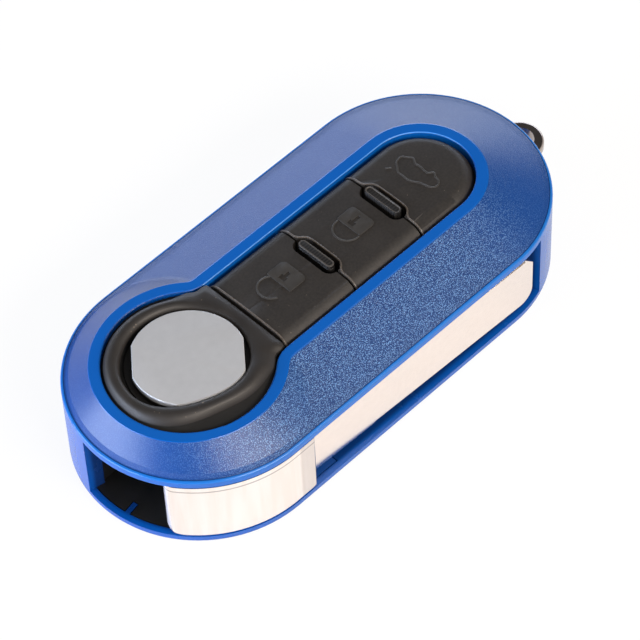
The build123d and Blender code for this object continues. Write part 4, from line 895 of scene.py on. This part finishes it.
def spun(name, section_at, lines):
    """A ring round the button, with the section that section_at gives for each angle."""
    ring = outline(name, [(BEZEL_X + START_RADIUS, 0, line) for line in range(lines)], True)
    in_edit_mode(ring)
    bpy.ops.mesh.spin(steps=BEZEL_STEPS, angle=2 * math.pi, center=(BEZEL_X * MM, 0, 0), axis=(0, 0, 1))
    bpy.ops.mesh.select_all(action="SELECT")
    bpy.ops.mesh.remove_doubles(threshold=MERGE_WITHIN)
    bpy.ops.object.mode_set(mode="OBJECT")
    for vertex in ring.data.vertices:
        angle = math.atan2(vertex.co.y, vertex.co.x - BEZEL_X * MM)
        radius, z = section_at(math.degrees(angle))[round(vertex.co.z / MM)]
        vertex.co = Vector((BEZEL_X + radius * math.cos(angle), radius * math.sin(angle), z)) * MM
    in_edit_mode(ring)
    return closed(ring)


# %% [markdown]
# The lower part of the bezel stays as it is packed. A copy is cut off just above the foot of the new ring,
# and the two are joined in one object.

# %% Bezel
BASE_OVERLAP = 0.05

ring = spun("bezel_ring", bezel_section, len(bezel_section(0)))
base = copied("release_bezel", "bezel_base")
in_edit_mode(base)
base_top = (0, 0, (BASE_Z + BASE_OVERLAP) * MM)
bpy.ops.mesh.bisect(plane_co=base_top, plane_no=(0, 0, 1), clear_outer=True, use_fill=True)
bezel = joined("bezel_top", ring, closed(base))
dressed(bezel, "case", bezel_black, smooth=40)
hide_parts("release_bezel")

# %% [markdown]
# The button's cap follows the opening, so on the near side it has a flatter edge. A copy of the packed
# button is cut with a block that is as wide as the opening above, less the gap round the cap, and wide below.

# %% Button
CAP_GAP = 0.12
CAP_CUT_Z = 16.7
BLOCK_LOW_Z = 8.0
BLOCK_HIGH_Z = 19.0
BLOCK_RADIUS = 14.0
BLOCK_MIDDLE = 0.01


def opening_section(angle):
    """The radius and height of each line of the block at an angle in degrees."""
    inner = even_radii(angle)[0] - CAP_GAP
    below = [(BLOCK_MIDDLE, BLOCK_LOW_Z), (BLOCK_RADIUS, BLOCK_LOW_Z), (BLOCK_RADIUS, CAP_CUT_Z)]
    return below + [(inner, CAP_CUT_Z), (inner, BLOCK_HIGH_Z), (BLOCK_MIDDLE, BLOCK_HIGH_Z)]


block = spun("opening", opening_section, len(opening_section(0)))
cap = cut(copied("release_button", "release_cap"), "INTERSECT", block)
dressed(cap, "release", button_metal, smooth=8)
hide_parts("release_button")

# %% [markdown]
# The spring under the cap is pressed flat as the cap goes down. A copy of it rides on the case, with a mesh
# of its own.

coil = dressed(copied("release_spring", "release_coil"), "case", spring_steel, smooth=40)
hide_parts("release_spring")
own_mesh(coil)

# %% [markdown]
# Each key has a raised symbol: an open padlock, a shut padlock, and a car with its lid up. A padlock's body
# is a flat outline with a keyhole in it, which a filled curve makes with a hole and a bevelled edge in one
# step. The bows and the car are rounded lines like the lips.

# %% Plates
PLATE_RAISE = 0.09
PLATE_EDGE = 0.03
CORNER_STEPS = 6


def plate(name, *outlines):
    """A thin plate with holes from outlines in millimetres, which lies on the keys."""
    curve = bpy.data.curves.new(name, "CURVE")
    curve.dimensions = "2D"
    curve.fill_mode = "BOTH"
    curve.extrude = PLATE_RAISE * MM
    curve.bevel_depth = PLATE_EDGE * MM
    curve.bevel_resolution = 1
    for points in outlines:
        spline_through(curve, "POLY", [(x * MM, y * MM, 0) for x, y in points], loop=True)
    made = meshed(name, curve)
    made.location.z = surface_z(*outlines[0][0]) * MM
    in_edit_mode(made)
    return closed(made)


def arc(x, y, radius, first, last, steps):
    """Points on a circle between two angles in degrees."""
    angles = [math.radians(first + (last - first) * step / steps) for step in range(steps + 1)]
    return [(x + radius * math.cos(angle), y + radius * math.sin(angle)) for angle in angles]


# %% [markdown]
# Both padlocks lie on their side, with the bow towards the button. The corners of the body beside the bow are
# nearly sharp and the others are round.


# %% Outlines of the padlocks
def padlock_body(low_x, high_x, low_y, high_y, sharp, soft):
    """A rectangle with sharp corners on the side of the bow and soft ones on the other side."""
    corners = arc(low_x + sharp, low_y + sharp, sharp, 180, 270, CORNER_STEPS)
    corners += arc(high_x - soft, low_y + soft, soft, 270, 360, CORNER_STEPS)
    corners += arc(high_x - soft, high_y - soft, soft, 0, 90, CORNER_STEPS)
    return corners + arc(low_x + sharp, high_y - sharp, sharp, 90, 180, CORNER_STEPS)


def keyhole(start_x, head_x, end_x, head_y, slot_y):
    """A keyhole that lies along x: a wide head and a narrower slot, each between two values of y."""
    head_low, head_high = head_y
    slot_low, slot_high = slot_y
    low_side = [(start_x, head_low), (head_x, head_low), (head_x, slot_low), (end_x, slot_low)]
    return low_side + [(end_x, slot_high), (head_x, slot_high), (head_x, head_high), (start_x, head_high)]


open_body = padlock_body(-5.7, -2.5, -1.9, 2.6, 0.15, 0.8)
open_hole = keyhole(-5.15, -4.3, -3.45, (-0.1, 1.1), (0.2, 0.8))
open_bow = arc(-6.95, 0.5, 1.95, 50, 250, 12)
shut_body = padlock_body(7.7, 10.8, -1.9, 2.5, 0.15, 0.7)
shut_hole = keyhole(8.1, 8.9, 10.1, (-0.1, 1.05), (0.2, 0.75))
shut_bow = arc(7.35, 0.15, 2.05, 84, 276, 12)

# %% [markdown]
# The car is one closed line, seen from its side, with a short line for its open lid. The curve rounds off the
# corners by itself, so one point for each bend is enough.

# %% Outline of the car
CAR = [(20.6, 3.7), (20.2, 3.0), (19.4, 2.2), (19.5, 1.1), (19.3, 0.0), (20.2, -1.3), (20.4, -2.4)]
CAR += [(20.7, -3.2), (21.6, -3.5), (22.3, -2.9), (22.4, -2.1), (22.9, -1.6), (22.8, -1.3), (22.1, -1.0)]
CAR += [(22.2, -0.2), (22.4, 0.9), (22.1, 1.4), (22.8, 2.3), (22.7, 2.75), (22.2, 3.3), (22.0, 4.0)]
LID = [(18.8, 4.0), (19.15, 3.7), (19.5, 3.4)]

# %% [markdown]
# The symbols are rubber like the keys, a little paler. Each is one object and moves with its key.

# %% Symbols
SYMBOL_LINE = 0.2
SYMBOL_SINK = 0.11

symbol_rubber = Finish("symbol_rubber")
symbol_tone = symbol_rubber.noise(1.2 * MM, 4)
symbol_rubber.set("Base Color", symbol_rubber.mix(symbol_tone, linear(42, 40, 38), linear(62, 59, 56)))
symbol_rubber.set("Roughness", symbol_tone * 0.2 + 0.4)
symbol_rubber.set("Normal", symbol_rubber.bump(symbol_rubber.noise(0.2 * MM, 3), 0.006 * MM))


def line(name, points, loop=False):
    """A symbol's rounded line."""
    return raised_line(name, points, SYMBOL_LINE, SYMBOL_SINK, loop)


unlock_symbol = joined("unlock_symbol", plate("open_body", open_body, open_hole), line("open_bow", open_bow))
lock_symbol = joined("lock_symbol", plate("shut_body", shut_body, shut_hole), line("shut_bow", shut_bow))
trunk_symbol = joined("trunk_symbol", line("car", CAR, loop=True), line("lid", LID))
for symbol in (unlock_symbol, lock_symbol, trunk_symbol):
    dressed(symbol, symbol.name.replace("symbol", "key"), symbol_rubber, smooth=30)

# %% [markdown]
# Between the keys stand two oblong bars of the keypad's frame. They stand a little higher than the keys and
# have a ribbed middle, with a thin paler rim round it that is a painted highlight. The rim is found by its
# distance from the bar's middle line, and the ribs are waves that run across the bar.

# %% Bar finish
BAR_TOP_Z = 18.1
RIM_INSIDE = 0.38
RIM_OUTSIDE = 0.66
RIM_SOFT = 0.08
RIBS_PER_METRE = 700

bar_black = Finish("bar_black")
bar_along, bar_across, bar_height = bar_black.parts(bar_black.place())
beside = (bar_along - SEAMS[1] * MM).size().smaller((bar_along - SEAMS[2] * MM).size())
past_bar = (bar_across.size() - BAR_HALF * MM).larger(0)
from_bar = (past_bar**2 + beside**2) ** 0.5
# Painted highlight along the top edge of each bar.
painted_rim_highlight = from_bar.rises(RIM_INSIDE * MM, (RIM_INSIDE + RIM_SOFT) * MM)
painted_rim_highlight = painted_rim_highlight * from_bar.rises(RIM_OUTSIDE * MM, (RIM_OUTSIDE - RIM_SOFT) * MM)
painted_rim_highlight = painted_rim_highlight * bar_height.rises((BAR_TOP_Z - 0.3) * MM, (BAR_TOP_Z - 0.1) * MM)
rib_inputs = {"Vector": bar_black.place(), "Scale": RIBS_PER_METRE}
ribs = bar_black.node("ShaderNodeTexWave", {"bands_direction": "Y"}, rib_inputs, output=1)
rib_colour = bar_black.mix(ribs, linear(12, 11, 11), linear(40, 38, 36))
bar_black.set("Base Color", bar_black.mix(painted_rim_highlight, rib_colour, linear(72, 68, 64)))
bar_black.set("Roughness", bar_black.noise(1 * MM, 2) * 0.2 + 0.4)
print("bar_black", len(bar_black.tree.nodes), "nodes")

# %% [markdown]
# Each bar starts as a cylinder. One half of its vertices is moved to each side, which makes it an oblong. An
# inset with a depth pushes in what is selected. On the second bar that is the top, which gets a rim and a
# sunken middle. On the first it is everything, so the bar gets smaller by the depth and its top stays flat.

# %% Bars
BAR_SIDES = 48
BAR_RADIUS = 0.71
BAR_LOW_Z = 16.0
BAR_RIM = 0.17
BAR_DISH = 0.08
DISH_SLOPE = 0.04
BAR_EDGE = 0.06
DISHED_BAR = 2
LOOKS_UP = 0.9


def only_top(piece):
    """Selects only the faces that look upwards."""
    bpy.ops.mesh.select_all(action="DESELECT")
    bpy.ops.object.mode_set(mode="OBJECT")
    for face in piece.data.polygons:
        face.select = face.normal.z > LOOKS_UP
    bpy.ops.object.mode_set(mode="EDIT")


for number, seam in enumerate(SEAMS[1:], 1):
    bpy.ops.object.select_all(action="DESELECT")
    bpy.ops.mesh.primitive_cylinder_add(
        vertices=BAR_SIDES,
        radius=BAR_RADIUS * MM,
        depth=(BAR_TOP_Z - BAR_LOW_Z) * MM,
        location=(seam * MM, 0, (BAR_LOW_Z + BAR_TOP_Z) / 2 * MM),
        rotation=(0, 0, math.pi / BAR_SIDES),
    )
    bar = bpy.context.object
    bar.name = f"keypad_bar_{number}"
    bpy.ops.object.transform_apply()
    for vertex in bar.data.vertices:
        vertex.co.y += math.copysign(BAR_HALF * MM, vertex.co.y)
    in_edit_mode(bar)
    bpy.ops.mesh.select_mode(type="FACE")
    if number == DISHED_BAR:
        only_top(bar)
    bpy.ops.mesh.inset(thickness=BAR_RIM * MM, depth=0)
    bpy.ops.mesh.inset(thickness=DISH_SLOPE * MM, depth=-BAR_DISH * MM)
    bpy.ops.object.mode_set(mode="OBJECT")
    soften(bar, BAR_EDGE, segments=3)
    dressed(bar, "case", bar_black, smooth=35)

# %% [markdown]
# The studio is a pale floor in a white world. The camera sees both as nearly plain white, and reflections see
# them dimmer, so that the blue keeps its depth. A share of the floor is an ordinary surface, which takes a
# little of the object's shadow.

# %% Floor
FLOOR_SIZE = 4.0
FLOOR_SHOWN = 0.9
FLOOR_REFLECTED = 0.6

bpy.ops.object.select_all(action="DESELECT")
bpy.ops.mesh.primitive_plane_add(size=FLOOR_SIZE)
floor = bpy.context.object
floor.name = "floor"
floor_pale = Finish("floor_pale", Roughness=0.9)
floor_pale.set("Base Color", linear(250, 250, 250))
floor_ray = floor_pale.ray()
shown = (floor_ray["Is Camera Ray"] * FLOOR_SHOWN).larger(floor_ray["Is Transmission Ray"] * FLOOR_SHOWN)
glow_share = shown.larger(floor_ray["Is Glossy Ray"] * FLOOR_REFLECTED)
surface = Wire(floor_pale, floor_pale.shader.outputs[0])
glow = floor_pale.node("ShaderNodeEmission", inputs={"Color": (1, 1, 1, 1), "Strength": 1.0})
floor_mix = floor_pale.node("ShaderNodeMixShader", inputs={0: glow_share, 1: surface, 2: glow})
floor_pale.tree.links.new(floor_mix.socket, floor_pale.tree.nodes["Material Output"].inputs["Surface"])
floor.data.materials.append(floor_pale.material)
print("floor", FLOOR_SIZE, "m wide,", FLOOR_REFLECTED, "bright in reflections")

# %% [markdown]
# The world is white to the camera and gives a weak even light. In reflections it is bright at the horizon and
# dark overhead, so that flat tops stay deep in colour.

# %% World
WORLD_LIGHT = 0.35
WORLD_ZENITH = 0.08
FADE_HEIGHT = 0.35

world = bpy.data.worlds.new("studio_world")
world.use_nodes = True
bpy.context.scene.world = world
sky = NodeTree(world.node_tree)
sky_ray = sky.ray()
sky_height = sky.parts(sky.place("Generated"))[2]
fade_limits = {"From Min": 0.0, "From Max": FADE_HEIGHT, "To Min": 1.0, "To Max": WORLD_ZENITH}
fade = sky.node("ShaderNodeMapRange", inputs={"Value": sky_height, **fade_limits})
reflected = sky.node("ShaderNodeMix", inputs={0: sky_ray["Is Glossy Ray"], 2: WORLD_LIGHT, 3: fade})
strength = sky.node("ShaderNodeMix", inputs={0: sky_ray["Is Camera Ray"], 2: reflected, 3: 1.0})
background = world.node_tree.nodes["Background"]
background.inputs["Color"].default_value = (1, 1, 1, 1)
world.node_tree.links.new(strength.socket, background.inputs["Strength"])
print("world", WORLD_LIGHT, "bright, and", WORLD_ZENITH, "overhead in reflections")

# %% [markdown]
# Four soft lamps give the highlights of the photograph: one behind, one at the left, one in front and one
# above. A lamp's brightness is how bright it looks in a mirror, where 1 is plain white, and its power follows
# from its area. So a lamp can be made larger without making its reflection brighter.

# %% Lamps
LAMP_REACH = 0.5
WARM_LIGHT = (1.0, 0.89, 0.78)
COOL_LIGHT = (0.84, 0.97, 1.22)


def lamp(name, azimuth, elevation, width, height, brightness, colour=(1, 1, 1)):
    """A soft rectangular lamp that faces the object from a direction."""
    data = bpy.data.lights.new(name, "AREA")
    data.shape = "RECTANGLE"
    data.size = width
    data.size_y = height
    data.color = colour
    data.energy = brightness * math.pi * width * height
    made = bpy.data.objects.new(name, data)
    bpy.context.scene.collection.objects.link(made)
    bearing, slant = math.radians(azimuth), math.radians(elevation)
    away = Vector((math.cos(bearing) * math.cos(slant), math.sin(bearing) * math.cos(slant), math.sin(slant)))
    made.location = away * LAMP_REACH
    made.rotation_mode = "QUATERNION"
    made.rotation_quaternion = away.to_track_quat("Z", "Y")
    print(name, round(data.energy, 2), "W")


lamp("back_softbox", 42, 4, 0.72, 0.16, 3.4, COOL_LIGHT)
lamp("left_softbox", 158, 13, 0.5, 0.18, 11.5, COOL_LIGHT)
lamp("front_softbox", 269, 35, 0.38, 0.13, 17.0, WARM_LIGHT)
lamp("top_softbox", 290, 66, 0.35, 0.35, 1.0)

bpy.context.scene.view_settings.view_transform = "Standard"
